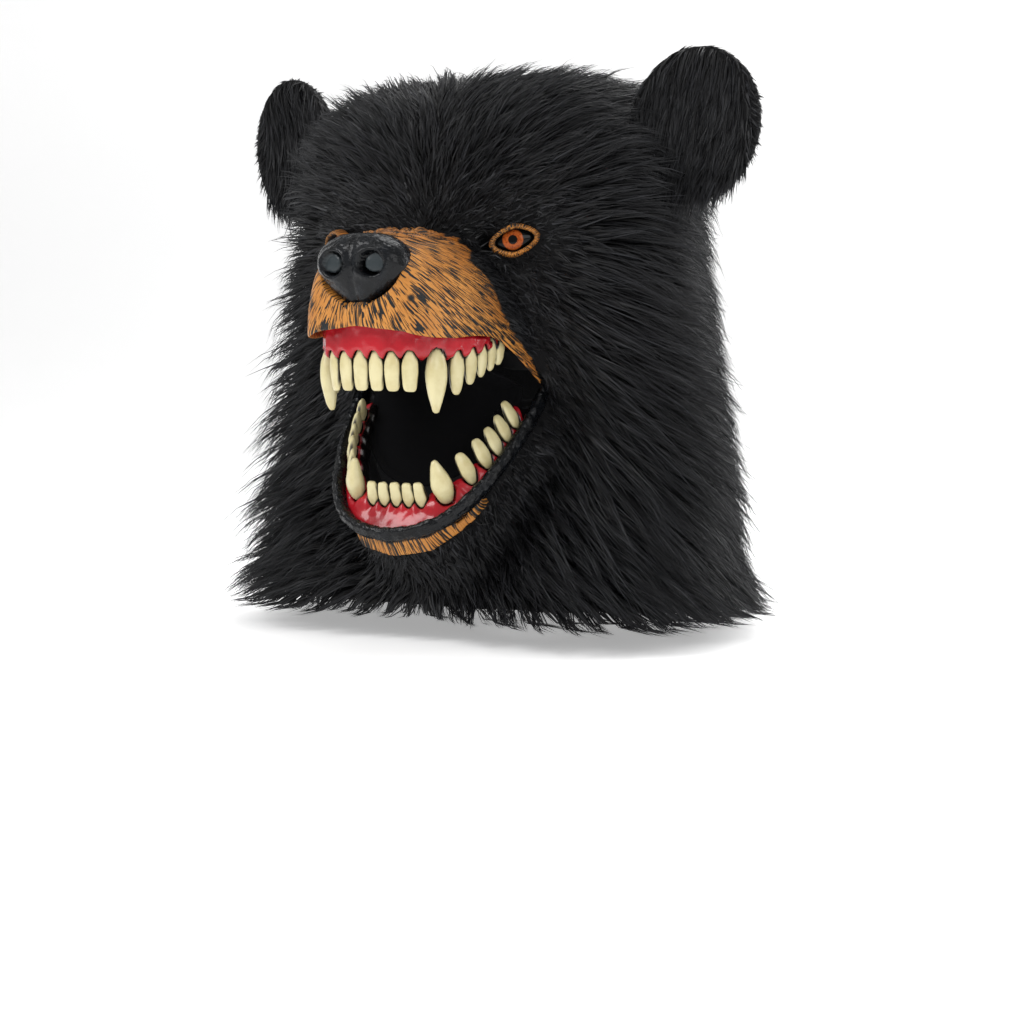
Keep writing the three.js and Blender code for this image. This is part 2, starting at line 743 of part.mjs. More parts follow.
const lidOpening = (sign, grow) =>
  almond([-EYELID_DEPTH * 2, EYELID_DEPTH].map((out) => [EYE_WIDTH + 2 * grow, EYE_HEIGHT + 2 * grow, out]), sign);
const eyeSolid = (sign) =>
  almond(
    [
      [1, -1],
      [1, -0.45],
      [0.8, -0.1],
      [0.45, 0.12],
    ].map(([size, out]) => [EYE_WIDTH * size, EYE_HEIGHT * size, EYELID_DEPTH * out]),
    sign,
  );

// Ears: a cupped dish turned on a lathe, its hollow towards the front
const EAR_PROFILE = [
  [0, -1.3],
  [0.55, -1.1],
  [0.86, -0.5],
  [1.0, 0.4],
  [0.98, 1.1],
  [0.86, 1.0],
  [0.55, 0],
  [0, -0.3],
];
function earSolid(sign, grow) {
  const profile = EAR_PROFILE.map(([radius, out], k) => {
    const outwards = k < EAR_PROFILE.length / 2 ? -grow : grow;
    return new THREE.Vector2(radius ? radius * EAR_RADIUS + grow : 0, out * EAR_WALL + outwards);
  });
  const dish = new THREE.LatheGeometry(profile, 18);
  dish.scale(1, 1, EAR_STRETCH);
  const facing = new THREE.Matrix4().makeRotationZ(Math.PI);
  const turn = new THREE.Matrix4().makeRotationZ(sign * EAR_YAW);
  const roll = new THREE.Matrix4().makeRotationY(sign * EAR_ROLL);
  const move = new THREE.Matrix4().makeTranslation(sign * EAR_X, EAR_Y, EAR_Z);
  return solid(dish.applyMatrix4(move.multiply(turn).multiply(roll).multiply(facing)));
}

// How far the fur stands off the hood: short on the face, long on the sides, the back and the neck
function furHeight(drop, angle) {
  const fromFace = Math.abs(Math.atan2(Math.sin(angle), Math.cos(angle)));
  const face = THREE.MathUtils.smoothstep(fromFace, FACE_FUR_ANGLE * 0.55, FACE_FUR_ANGLE * 1.5);
  const crown = THREE.MathUtils.smoothstep(drop, 0.02, 0.16);
  const full = LOCK_HEIGHT * THREE.MathUtils.lerp(0.5, 1, crown);
  return THREE.MathUtils.lerp(full, SHORT_FUR_HEIGHT, (1 - face) * crown);
}

// The coat's outer skin: rows of pointed locks, each row lapping over the next
function lockedSkin() {
  const columns = ringAngles(2 * LOCKS_AROUND);
  const rings = [columns.map((angle) => headPoint(0, angle, seatOfFur + LOCK_HEIGHT * 0.7))];
  LOCK_ROWS.forEach(([drop, reach], row) => {
    const ring = (place) =>
      columns.map((angle, k) => {
        const tip = (k + row) % 2 === 0;
        const [share, rise] = place(tip);
        const height = row === 0 && share === 0 ? 0 : furHeight(drop, angle) * rise;
        return headPoint(Math.min(drop + reach * share, 1), angle, seatOfFur + height);
      });
    if (row > 0) rings.push(ring(() => [0, 0.1]));
    rings.push(ring((tip) => [0.55, tip ? 1 : 0.75]));
    rings.push(ring((tip) => (tip ? [1, 0.9] : [0.74, 0.45])));
  });
  const last = rings.at(-1);
  rings.push(last.map((point, k) => headPoint(1, columns[k], seatOfFur).setZ(point.z - 1)));
  return loft(rings);
}

// The nose: a rounded pad flattened on top, with a plug set in each nostril
function noseSolid() {
  const ball = new THREE.SphereGeometry(1, 14, 10);
  const points = ball.attributes.position;
  for (let k = 0; k < points.count; k++) {
    const [x, y, z] = [points.getX(k), points.getY(k), points.getZ(k)];
    const narrow = z < 0 ? 1 + 0.42 * z : 1;
    points.setXYZ(
      k,
      (NOSE_WIDTH / 2) * signedPower(x, 0.85) * narrow,
      (NOSE_DEPTH / 2) * signedPower(y, 0.9),
      (NOSE_HEIGHT / 2) * (z > 0 ? signedPower(z, 0.8) * 0.85 : z * 1.15),
    );
  }
  let nose = solid(ball.translate(0, NOSE_Y, NOSE_Z));
  const front = NOSE_Y - NOSE_DEPTH / 2 + NOSTRIL_DEPTH;
  for (const [, sign] of sides) {
    const hole = new THREE.CylinderGeometry(NOSTRIL_RADIUS, NOSTRIL_RADIUS * 0.9, NOSTRIL_DEPTH * 4, 10);
    hole.translate(sign * NOSTRIL_SPACING, front - NOSTRIL_DEPTH * 2, NOSE_Z - NOSTRIL_DROP);
    const plug = new THREE.CylinderGeometry(NOSTRIL_RADIUS * 0.7, NOSTRIL_RADIUS * 0.78, NOSTRIL_DEPTH, 10);
    plug.translate(sign * NOSTRIL_SPACING, front, NOSE_Z - NOSTRIL_DROP);
    nose = nose.subtract(solid(hole)).add(solid(plug));
  }
  return nose;
}

// Chin patch: a band of the jaw's skin just under the lip
function chinRegion(grow) {
  const region = new THREE.BoxGeometry(2 * (CHIN_HALF_WIDTH + grow), JAW_REACH / 2, CHIN_HEIGHT + 2 * grow);
  region.applyMatrix4(new THREE.Matrix4().makeBasis(vec(1, 0, 0), jawAlong.clone().negate(), jawUp));
  const middle = jawPoint(0, LOWER_LENGTH - LIP_HEIGHT, -CHIN_HEIGHT / 2);
  return solid(region.translate(...middle.toArray()));
}

const coveredForm = headSolid(GAP, FOAM_WALL).add(jawSolid(GAP));
const hemBelow = solid(
  new THREE.BoxGeometry(3 * HOOD_HEIGHT, 3 * HOOD_HEIGHT, LOCK_HEIGHT * 2).translate(
    0,
    0,
    FOAM_WALL - HOOD_HEIGHT - LOCK_HEIGHT,
  ),
);
const muzzleRoom = muzzleSolid(GAP, GAP);
const wedge = mouthWedge();
const gumRoom = lowerGumSolid(GAP);
const lipRoom = lowerLip(GAP);
const shifted = (body, by) => solid(geometryOf(body).translate(...by.toArray()));
const grownMouth = mouthRoom(2 * GAP);
const liningShifts = [
  vec(0, 3 * GAP, 0),
  vec(0, -6 * GAP, 0),
  vec(0, 0, -4 * GAP),
  vec(6 * GAP, 0, 0),
  vec(-6 * GAP, 0, 0),
  jawUp.clone().multiplyScalar(4 * GAP),
  jawUp.clone().multiplyScalar(-4 * GAP),
];
const liningRoom = liningShifts.reduce((room, by) => room.add(shifted(grownMouth, by)), grownMouth);
const muzzleWallRoom = muzzleRoom.subtract(muzzleSolid(-MUZZLE_WALL - GAP, GUM_HEIGHT));
const visionHoles = sides.map(([, sign]) => {
  const hole = new THREE.CylinderGeometry(VISION_WIDTH / 2, VISION_WIDTH / 2, FACE_FRONT, 12);
  hole.scale(1, 1, VISION_HEIGHT / VISION_WIDTH);
  return solid(hole.translate(sign * VISION_X, EYE_Y, VISION_Z));
});
const lidRooms = sides.map(([, sign]) => moved(lidSolid(sign, GAP), eyeFrame(sign)));
const earRooms = sides.map(([, sign]) => earSolid(sign, 2 * GAP));

const hoodCuts = [headSolid(-FOAM_WALL, 5), jawSolid(-FOAM_WALL), faceRoom(), wedge, ...visionHoles, ...lidRooms];
const hood = cutAll(skin(0), [...hoodCuts, gumRoom, lipRoom, liningRoom]);

const furOuter = lockedSkin().add(jawSolid(seatOfFur + SHORT_FUR_HEIGHT));
const coatCuts = [wedge, muzzleRoom, ...visionHoles, ...lidRooms, ...earRooms, lowerGumSolid(3 * GAP), lipRoom];
const coat = cutAll(furOuter, [...coatCuts, chinRegion(GAP), liningRoom, coveredForm, hemBelow]);

const muzzleShell = muzzleSolid(0).subtract(muzzleSolid(-MUZZLE_WALL, GUM_HEIGHT));
const muzzle = cutAll(muzzleShell, [coveredForm, ...visionHoles, ...lidRooms]);
const chinBand = skin(GAP + CHIN_SKIN).subtract(coveredForm).intersect(chinRegion(0));
const lining = mouthRoom(0).subtract(mouthRoom(-LINING_WALL, 1));

place("hood", hood, FOAM, 0.95);
place("fur_coat", coat, BLACK_FUR, 0.8);
place("muzzle", muzzle, TAN, 0.6);
place("nose", noseSolid().subtract(muzzleRoom), NOSE_BLACK, 0.25);
place("upper_gum", cutAll(upperGum, [...upperTeeth.map((tooth) => tooth.socket), coveredForm, muzzleWallRoom]), GUM_RED, 0.2);
place("lower_gum", cutAll(lowerGumSolid(0), [...lowerTeeth.map((tooth) => tooth.socket), lipRoom]), GUM_RED, 0.2);
for (const { name, body } of [...upperTeeth, ...lowerTeeth]) place(name, body, IVORY, 0.3);
place("lower_lip", lowerLip(0), LIP_BLACK, 0.3);
place("chin", cutAll(chinBand, [wedge, lipRoom, gumRoom]), TAN, 0.6);
place("mouth_lining", cutAll(lining, [gumRoom]), LINING_BLACK, 0.95);
for (const [side, sign] of sides) {
  const frame = eyeFrame(sign);
  place(`eyelid_${side}`, moved(lidSolid(sign, 0).subtract(lidOpening(sign, GAP)), frame), TAN, 0.6);
  place(`eye_${side}`, moved(eyeSolid(sign), frame), IRIS_BROWN, 0.1);
  place(`ear_${side}`, earSolid(sign, 0).subtract(coveredForm), BLACK_FUR, 0.85);
}

export default group;
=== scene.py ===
"""An over-the-head bear mask: black fur, round ears, a moulded tan muzzle and open jaws with teeth."""

import json
import logging
import math
from collections.abc import Callable
from dataclasses import dataclass, field
from enum import Enum

import bpy
import numpy as np
from mathutils import Matrix, Vector, noise
from mathutils.bvhtree import BVHTree
from mathutils.kdtree import KDTree

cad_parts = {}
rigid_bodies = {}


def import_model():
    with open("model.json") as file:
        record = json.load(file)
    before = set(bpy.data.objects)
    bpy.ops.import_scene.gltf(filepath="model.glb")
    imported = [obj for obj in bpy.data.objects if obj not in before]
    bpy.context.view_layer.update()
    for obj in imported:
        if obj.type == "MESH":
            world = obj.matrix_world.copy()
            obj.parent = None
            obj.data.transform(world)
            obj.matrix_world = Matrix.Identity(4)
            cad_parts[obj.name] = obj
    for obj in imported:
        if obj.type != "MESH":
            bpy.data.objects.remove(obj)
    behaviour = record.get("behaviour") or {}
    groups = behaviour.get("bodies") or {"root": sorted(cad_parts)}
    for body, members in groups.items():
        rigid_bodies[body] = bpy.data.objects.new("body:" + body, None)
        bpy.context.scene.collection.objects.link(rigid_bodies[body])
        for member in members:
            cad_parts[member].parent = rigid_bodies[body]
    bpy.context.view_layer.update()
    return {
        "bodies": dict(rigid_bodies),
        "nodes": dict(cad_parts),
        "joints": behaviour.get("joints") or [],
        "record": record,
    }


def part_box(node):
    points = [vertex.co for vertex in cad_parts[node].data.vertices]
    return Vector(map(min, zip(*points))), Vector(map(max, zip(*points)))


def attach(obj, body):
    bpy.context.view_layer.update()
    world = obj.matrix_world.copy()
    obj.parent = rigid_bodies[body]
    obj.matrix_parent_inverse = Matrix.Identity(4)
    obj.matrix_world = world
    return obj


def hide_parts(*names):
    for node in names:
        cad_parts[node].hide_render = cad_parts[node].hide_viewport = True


LOG = logging.getLogger("bear_mask")
SEED = 20
Array = np.ndarray


class Side(Enum):
    """The two sides of the face, by the sign of X."""

    LEFT = 1
    RIGHT = -1

    @property
    def word(self) -> str:
        """The side's name in a node's name."""
        return self.name.lower()


def smooth(value: Array, low: float, high: float) -> Array:
    """A smooth step from 0 at low to 1 at high."""
    share = np.clip((value - low) / (high - low), 0.0, 1.0)
    return share * share * (3.0 - 2.0 * share)


def mix(low: Array, high: Array, share: Array) -> Array:
    """A value between low and high."""
    return low + (high - low) * share


def unit(vectors: Array) -> Array:
    """Vectors of length 1, row by row."""
    return vectors / np.maximum(np.linalg.norm(vectors, axis=-1, keepdims=True), 1e-12)


def signed_power(value: Array, power: float) -> Array:
    """A power that keeps the sign."""
    return np.sign(value) * np.abs(value) ** power


# Shader maths


class Value:
    """A shader socket that works in Python expressions."""

    def __init__(self, shader: "Shader", socket: bpy.types.NodeSocket) -> None:
        """Keeps the socket and the shader that it belongs to."""
        self.shader = shader
        self.socket = socket

    def math(self, operation: str, *others: "Value | float") -> "Value":
        """One Math node on this value and others."""
        inputs = {index: other for index, other in enumerate((self, *others))}
        return self.shader.node("ShaderNodeMath", {"operation": operation}, inputs)

    def __add__(self, other: "Value | float") -> "Value":
        """Sum."""
        return self.math("ADD", other)

    __radd__ = __add__

    def __sub__(self, other: "Value | float") -> "Value":
        """Difference."""
        return self.math("SUBTRACT", other)

    def __mul__(self, other: "Value | float") -> "Value":
        """Product."""
        return self.math("MULTIPLY", other)

    __rmul__ = __mul__

    def step(self, low: float, high: float) -> "Value":
        """A smooth step from 0 at low to 1 at high."""
        inputs = {"Value": self, "From Min": low, "From Max": high}
        return self.shader.node("ShaderNodeMapRange", {"interpolation_type": "SMOOTHSTEP"}, inputs)


class Shader:
    """A material in the making, round one Principled surface."""

    def __init__(self, name: str, **constants: float) -> None:
        """Starts a material.

        Args:
            name: the material's name.
            constants: values of the surface's sockets, their spaces written as underscores.
        """
        self.material = bpy.data.materials.new(name)
        self.material.use_nodes = True
        self.tree = self.material.node_tree
        self.surface = self.tree.nodes["Principled BSDF"]
        for key, value in constants.items():
            self.surface.inputs[key.replace("_", " ")].default_value = value

    def node(
        self, kind: str, settings: dict | None = None, inputs: dict | None = None, output: int | str = 0
    ) -> Value:
        """Makes any node.

        Args:
            kind: the node's type.
            settings: its own settings.
            inputs: values or links of its sockets, by name or number.
            output: the socket that is returned.

        Returns:
            The node's output as a value.
        """
        node = self.tree.nodes.new(kind)
        for key, value in (settings or {}).items():
            setattr(node, key, value)
        for key, value in (inputs or {}).items():
            if isinstance(value, Value):
                self.tree.links.new(value.socket, node.inputs[key])
            else:
                node.inputs[key].default_value = value
        return Value(self, node.outputs[output])

    def attribute(self, name: str) -> Value:
        """A number kept on the mesh."""
        return self.node("ShaderNodeAttribute", {"attribute_name": name}, output="Fac")

    def place(self) -> Value:
        """Object coordinates in metres."""
        return self.node("ShaderNodeTexCoord", output="Object")

    def noise(self, place: Value, scale: float, detail: float = 4, roughness: float = 0.55) -> Value:
        """Fractal noise from about 0 to 1."""
        inputs = {"Vector": place, "Scale": scale, "Detail": detail, "Roughness": roughness}
        return self.node("ShaderNodeTexNoise", None, inputs)

    def colour(self, share: Value, low: Value | tuple, high: tuple) -> Value:
        """A colour between two colours, of which the first may vary."""
        start = low if isinstance(low, Value) else (*low, 1.0)
        inputs = {"Factor": share, 6: start, 7: (*high, 1.0)}
        return self.node("ShaderNodeMix", {"data_type": "RGBA"}, inputs, output=2)

    def feed(self, socket: str, value: Value) -> None:
        """Links a value to the surface."""
        self.tree.links.new(value.socket, self.surface.inputs[socket])

    def bump(self, height: Value, strength: float, distance: float) -> None:
        """Fine relief from a height."""
        inputs = {"Height": height, "Strength": strength, "Distance": distance}
        self.feed("Normal", self.node("ShaderNodeBump", None, inputs))


@dataclass(frozen=True)
class FurFinish:
    """Black pile, a little lighter and bluer towards the tips."""

    name: str = "fur_finish"
    root: tuple = (0.0022, 0.0022, 0.0026)
    tip: tuple = (0.0070, 0.0073, 0.0088)
    grey: tuple = (0.028, 0.029, 0.034)

    def make(self) -> bpy.types.Material:
        """The material, coloured by each strand's own number and by the way along it."""
        shader = Shader(self.name, Roughness=0.5, Specular_IOR_Level=0.27)
        strand = shader.node("ShaderNodeUVMap", {"uv_map": "strand"})
        own = shader.node("ShaderNodeSeparateXYZ", None, {0: strand}, output="X")
        along = shader.node("ShaderNodeSeparateXYZ", None, {0: strand}, output="Y")
        colour = shader.colour(along.step(0.0, 0.9), self.root, self.tip)
        shader.feed("Base Color", shader.colour(own.step(0.75, 1.0) * 0.6, colour, self.grey))
        return shader.material


@dataclass(frozen=True)
class HoodFinish:
    """Black pile backing outside, grey felted foam inside."""

    name: str = "hood_finish"
    outside: tuple = (0.004, 0.004, 0.0045)
    inside: tuple = (0.035, 0.035, 0.038)
    thread: tuple = (0.07, 0.07, 0.07)

    def make(self) -> bpy.types.Material:
        """The material, parted by the attribute that tells inside from outside."""
        shader = Shader(self.name, Roughness=0.9, Specular_IOR_Level=0.2)
        grain = shader.noise(shader.place(), 900)
        cloth = shader.colour(grain.step(0.45, 0.75) * 0.5, self.inside, self.thread)
        shader.feed("Base Color", shader.colour(shader.attribute("outside"), cloth, self.outside))
        shader.bump(grain, 0.5, 0.0006)
        return shader.material


@dataclass(frozen=True)
class TanFinish:
    """Painted tan rubber with moulded black hair strokes that run along the lie of the hair."""

    name: str = "tan_finish"
    light: tuple = (0.56, 0.235, 0.046)
    deep: tuple = (0.37, 0.120, 0.016)
    stroke: tuple = (0.006, 0.007, 0.008)
    counts: tuple = (36.0, 56.0, 82.0)
    changes: tuple = ((0.036, 0.052), (0.064, 0.084))
    run: float = 88.0
    sparse: float = 0.548

    def streaks(self, shader: Shader, around: Value, away: Value, side: Value, share: float) -> Value:
        """Stretched noise, finer with the distance from the source, so that the strokes keep their width."""
        layers = []
        for count in self.counts:
            run = away * (self.run * (1.6 - 0.6 * share))
            parts = {0: around * (count * share), 1: run, 2: side * 4.0 + share * 7.0}
            layers.append(shader.noise(shader.node("ShaderNodeCombineXYZ", None, parts), 1.0, 1, 0.4))
        total = layers[0]
        for layer, (start, end) in zip(layers[1:], self.changes):
            total = total + (layer - total) * away.step(start, end)
        return total

    def make(self) -> bpy.types.Material:
        """The material, its strokes laid in the hair's own directions kept on the mesh."""
        shader = Shader(self.name, Roughness=0.5, Specular_IOR_Level=0.35)
        place = shader.place()
        around, away, side = (shader.attribute(name) for name in ("around", "away", "side"))
        cloud = shader.noise(place, 38, 3)
        bare = cloud.step(0.35, 0.7) * 0.07
        broad = self.streaks(shader, around, away, side, 1.0)
        fine = self.streaks(shader, around, away, side, 1.3)
        low = bare + (self.sparse - 0.02)
        stroke = (broad - low).step(0.0, 0.022) + (fine - low).step(-0.005, 0.02) * 0.9
        paint = shader.colour(cloud.step(0.35, 0.75) * 0.5 + shader.attribute("shade"), self.light, self.deep)
        shader.feed("Base Color", shader.colour(stroke + shader.attribute("margin"), paint, self.stroke))
        shader.bump(broad * -0.9 + shader.noise(place, 1300, 3) * 0.12 - stroke * 0.35, 0.75, 0.0022)
        return shader.material


@dataclass(frozen=True)
class GlossFinish:
    """A glossy cast finish: a base colour, a darker one in the low places, dark painted margins and, on the
    nose, painted shade in the nostrils.
    """

    name: str
    base: tuple
    low: tuple
    margin: tuple = (0.006, 0.005, 0.005)
    accent: tuple | None = None
    roughness: float = 0.2
    coat: float = 0.6
    shine: float = 0.5
    grain: float = 500
    relief: float = 0.2

    def make(self) -> bpy.types.Material:
        """The material, with the margins and the painted shade read from the mesh."""
        shader = Shader(self.name, Coat_Weight=self.coat, Coat_Roughness=0.08, Specular_IOR_Level=self.shine)
        place = shader.place()
        cloud = shader.noise(place, self.grain * 0.16, 3)
        paint = shader.colour(cloud.step(0.35, 0.75), self.base, self.low)
        if self.accent:
            paint = shader.colour(shader.attribute("accent"), paint, self.accent)
        # Dark painted margins, and on the nose the painted shade in the nostrils.
        shader.feed("Base Color", shader.colour(shader.attribute("margin"), paint, self.margin))
        shader.feed("Roughness", shader.noise(place, self.grain) * 0.2 + self.roughness)
        shader.bump(shader.noise(place, self.grain, 4), self.relief, 0.0006)
        return shader.material


@dataclass(frozen=True)
class EyeFinish:
    """An orange-brown iris with a black pupil, in glossy black."""

    name: str = "eye_finish"
    iris: float = 0.0078
    pupil: float = 0.0032
    amber: tuple = (0.36, 0.078, 0.012)
    rust: tuple = (0.17, 0.026, 0.005)
    black: tuple = (0.002, 0.002, 0.002)

    def make(self) -> bpy.types.Material:
        """The material, ringed by the distance kept on the mesh."""
        gloss = {"Coat_Weight": 0.08, "Coat_Roughness": 0.02, "Specular_IOR_Level": 0.12}
        shader = Shader(self.name, Roughness=0.06, **gloss)
        radius = shader.attribute("ring")
        fibre = shader.noise(shader.place(), 700, 3)
        iris = shader.colour(fibre.step(0.4, 0.7), self.amber, self.rust)
        pupil = radius.step(self.pupil + 0.0004, self.pupil - 0.0002)
        dark = pupil + radius.step(self.iris - 0.0009, self.iris)
        shader.feed("Base Color", shader.colour(dark, iris, self.black))
        return shader.material


@dataclass(frozen=True)
class ClothFinish:
    """Matte black cloth with a fine weave."""

    name: str = "lining_finish"
    base: tuple = (0.0025, 0.0025, 0.003)
    thread: tuple = (0.006, 0.006, 0.007)

    def make(self) -> bpy.types.Material:
        """The material, its weave from crossed waves."""
        shader = Shader(self.name, Roughness=0.95, Specular_IOR_Level=0.1)
        place = shader.place()
        across = shader.node("ShaderNodeTexWave", {"bands_direction": "X"}, {"Vector": place, "Scale": 900})
        along = shader.node("ShaderNodeTexWave", {"bands_direction": "Z"}, {"Vector": place, "Scale": 900})
        weave = across * along
        shader.feed("Base Color", shader.colour(weave, self.base, self.thread))
        shader.bump(weave, 0.3, 0.0003)
        return shader.material


@dataclass(frozen=True)
class StudioFinish:
    """The plain pale paint of the studio."""

    name: str = "studio_finish"
    tone: tuple = (0.9, 0.9, 0.9)
    glow: float = 0.35

    def make(self) -> bpy.types.Material:
        """The material, with a faint cloudiness."""
        white = (1.0, 1.0, 1.0, 1.0)
        light = {"Emission_Color": white, "Emission_Strength": self.glow}
        shader = Shader(self.name, Roughness=0.85, Specular_IOR_Level=0.1, **light)
        cloud = shader.noise(shader.place(), 3, 2)
        shader.feed("Base Color", shader.colour(cloud, self.tone, (0.92, 0.92, 0.92)))
        return shader.material


# Mesh helpers


def deselect() -> None:
    """Clears the selection."""
    bpy.ops.object.select_all(action="DESELECT")


def choose(piece: bpy.types.Object) -> None:
    """Selects one piece alone and makes it active."""
    deselect()
    piece.select_set(True)
    bpy.context.view_layer.objects.active = piece


def added(name: str, operator: Callable, **sizes: object) -> bpy.types.Object:
    """A new piece from one of Blender's own forms."""
    deselect()
    operator(**sizes)
    piece = bpy.context.object
    piece.name = name
    return piece


def face_outwards(piece: bpy.types.Object) -> None:
    """Turns all faces outwards."""
    choose(piece)
    bpy.ops.object.mode_set(mode="EDIT")
    bpy.ops.mesh.select_all(action="SELECT")
    bpy.ops.mesh.normals_make_consistent(inside=False)
    bpy.ops.object.mode_set(mode="OBJECT")


def apply_modifier(piece: bpy.types.Object, kind: str, **settings: object) -> None:
    """Adds a modifier with its settings and applies it."""
    choose(piece)
    modifier = piece.modifiers.new(kind.lower(), kind)
    for key, value in settings.items():
        setattr(modifier, key, value)
    bpy.ops.object.modifier_apply(modifier=modifier.name)


def points_of(piece: bpy.types.Object) -> Array:
    """The mesh's points."""
    flat = np.empty(len(piece.data.vertices) * 3, np.float32)
    piece.data.vertices.foreach_get("co", flat)
    return flat.reshape(-1, 3).astype(float)


def normals_of(piece: bpy.types.Object) -> Array:
    """The normals at the mesh's points."""
    flat = np.empty(len(piece.data.vertices) * 3, np.float32)
    piece.data.vertices.foreach_get("normal", flat)
    return flat.reshape(-1, 3).astype(float)


def set_points(piece: bpy.types.Object, points: Array) -> None:
    """Moves the mesh's points."""
    piece.data.vertices.foreach_set("co", points.astype(np.float32).ravel())
    piece.data.update()


def keep_numbers(piece: bpy.types.Object, **numbers: Array) -> None:
    """Keeps numbers on the mesh, each with one value for each point."""
    for name, values in numbers.items():
        attribute = piece.data.attributes.new(name, "FLOAT", "POINT")
        attribute.data.foreach_set("value", np.asarray(values, np.float32))


def along_surface(flow: Array, normals: Array) -> Array:
    """Directions laid flat on the surface, as unit vectors."""
    return unit(flow - normals * (flow * normals).sum(1, keepdims=True))


def tree_of(*pieces: bpy.types.Object) -> BVHTree:
    """A search tree of several meshes in one."""
    points: list = []
    faces: list = []
    for piece in pieces:
        start = len(points)
        points.extend(vertex.co.copy() for vertex in piece.data.vertices)
        faces.extend([start + index for index in face.vertices] for face in piece.data.polygons)
    return BVHTree.FromPolygons(points, faces)


def distances(tree: BVHTree, points: Array, reach: float) -> Array:
    """The distance from each point to a tree, or reach where it is farther."""
    found = (tree.find_nearest(point, reach)[3] for point in map(Vector, points))
    return np.array([reach if gap is None else gap for gap in found])


def finish(piece: bpy.types.Object, material: bpy.types.Material, slot: str, *nodes: str) -> None:
    """Dresses a piece and ties it to the frame.

    Args:
        piece: the finished mesh.
        material: its finish.
        slot: the record's material slot; not used.
        nodes: the solids that it stands for.
    """
    piece.data.materials.clear()
    piece.data.materials.append(material)
    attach(piece, "root")
    if nodes:
        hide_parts(*nodes)


def copy_node(frame: dict, node: str, name: str) -> bpy.types.Object:
    """A merged copy of a solid of the frame, in quads where it can be.

    Args:
        frame: the loaded frame.
        node: the solid's name.
        name: the copy's name.

    Returns:
        The copy.
    """
    source = frame["nodes"][node]
    piece = bpy.data.objects.new(name, source.data.copy())
    bpy.context.scene.collection.objects.link(piece)
    choose(piece)
    bpy.ops.object.mode_set(mode="EDIT")
    bpy.ops.mesh.select_all(action="SELECT")
    bpy.ops.mesh.remove_doubles(threshold=1e-5)
    bpy.ops.mesh.tris_convert_to_quads(face_threshold=math.radians(40), shape_threshold=math.radians(60))
    bpy.ops.object.mode_set(mode="OBJECT")
    for layer in list(piece.data.uv_layers):
        piece.data.uv_layers.remove(layer)
    return piece


def smooth_shading(piece: bpy.types.Object, angle: float = 60) -> None:
    """Smooth shading, with edges sharper than an angle kept."""
    choose(piece)
    bpy.ops.object.shade_smooth_by_angle(angle=math.radians(angle))


def roughen(piece: bpy.types.Object, size: float, height: float, offset: float = 0.0) -> None:
    """Moves the points along their normals by a soft noise and an even offset."""
    points = points_of(piece)
    rise = np.array([noise.fractal(Vector(point) / size, 0.8, 2.0, 3) for point in points])
    set_points(piece, points + normals_of(piece) * (rise * height + offset)[:, None])


# Fur


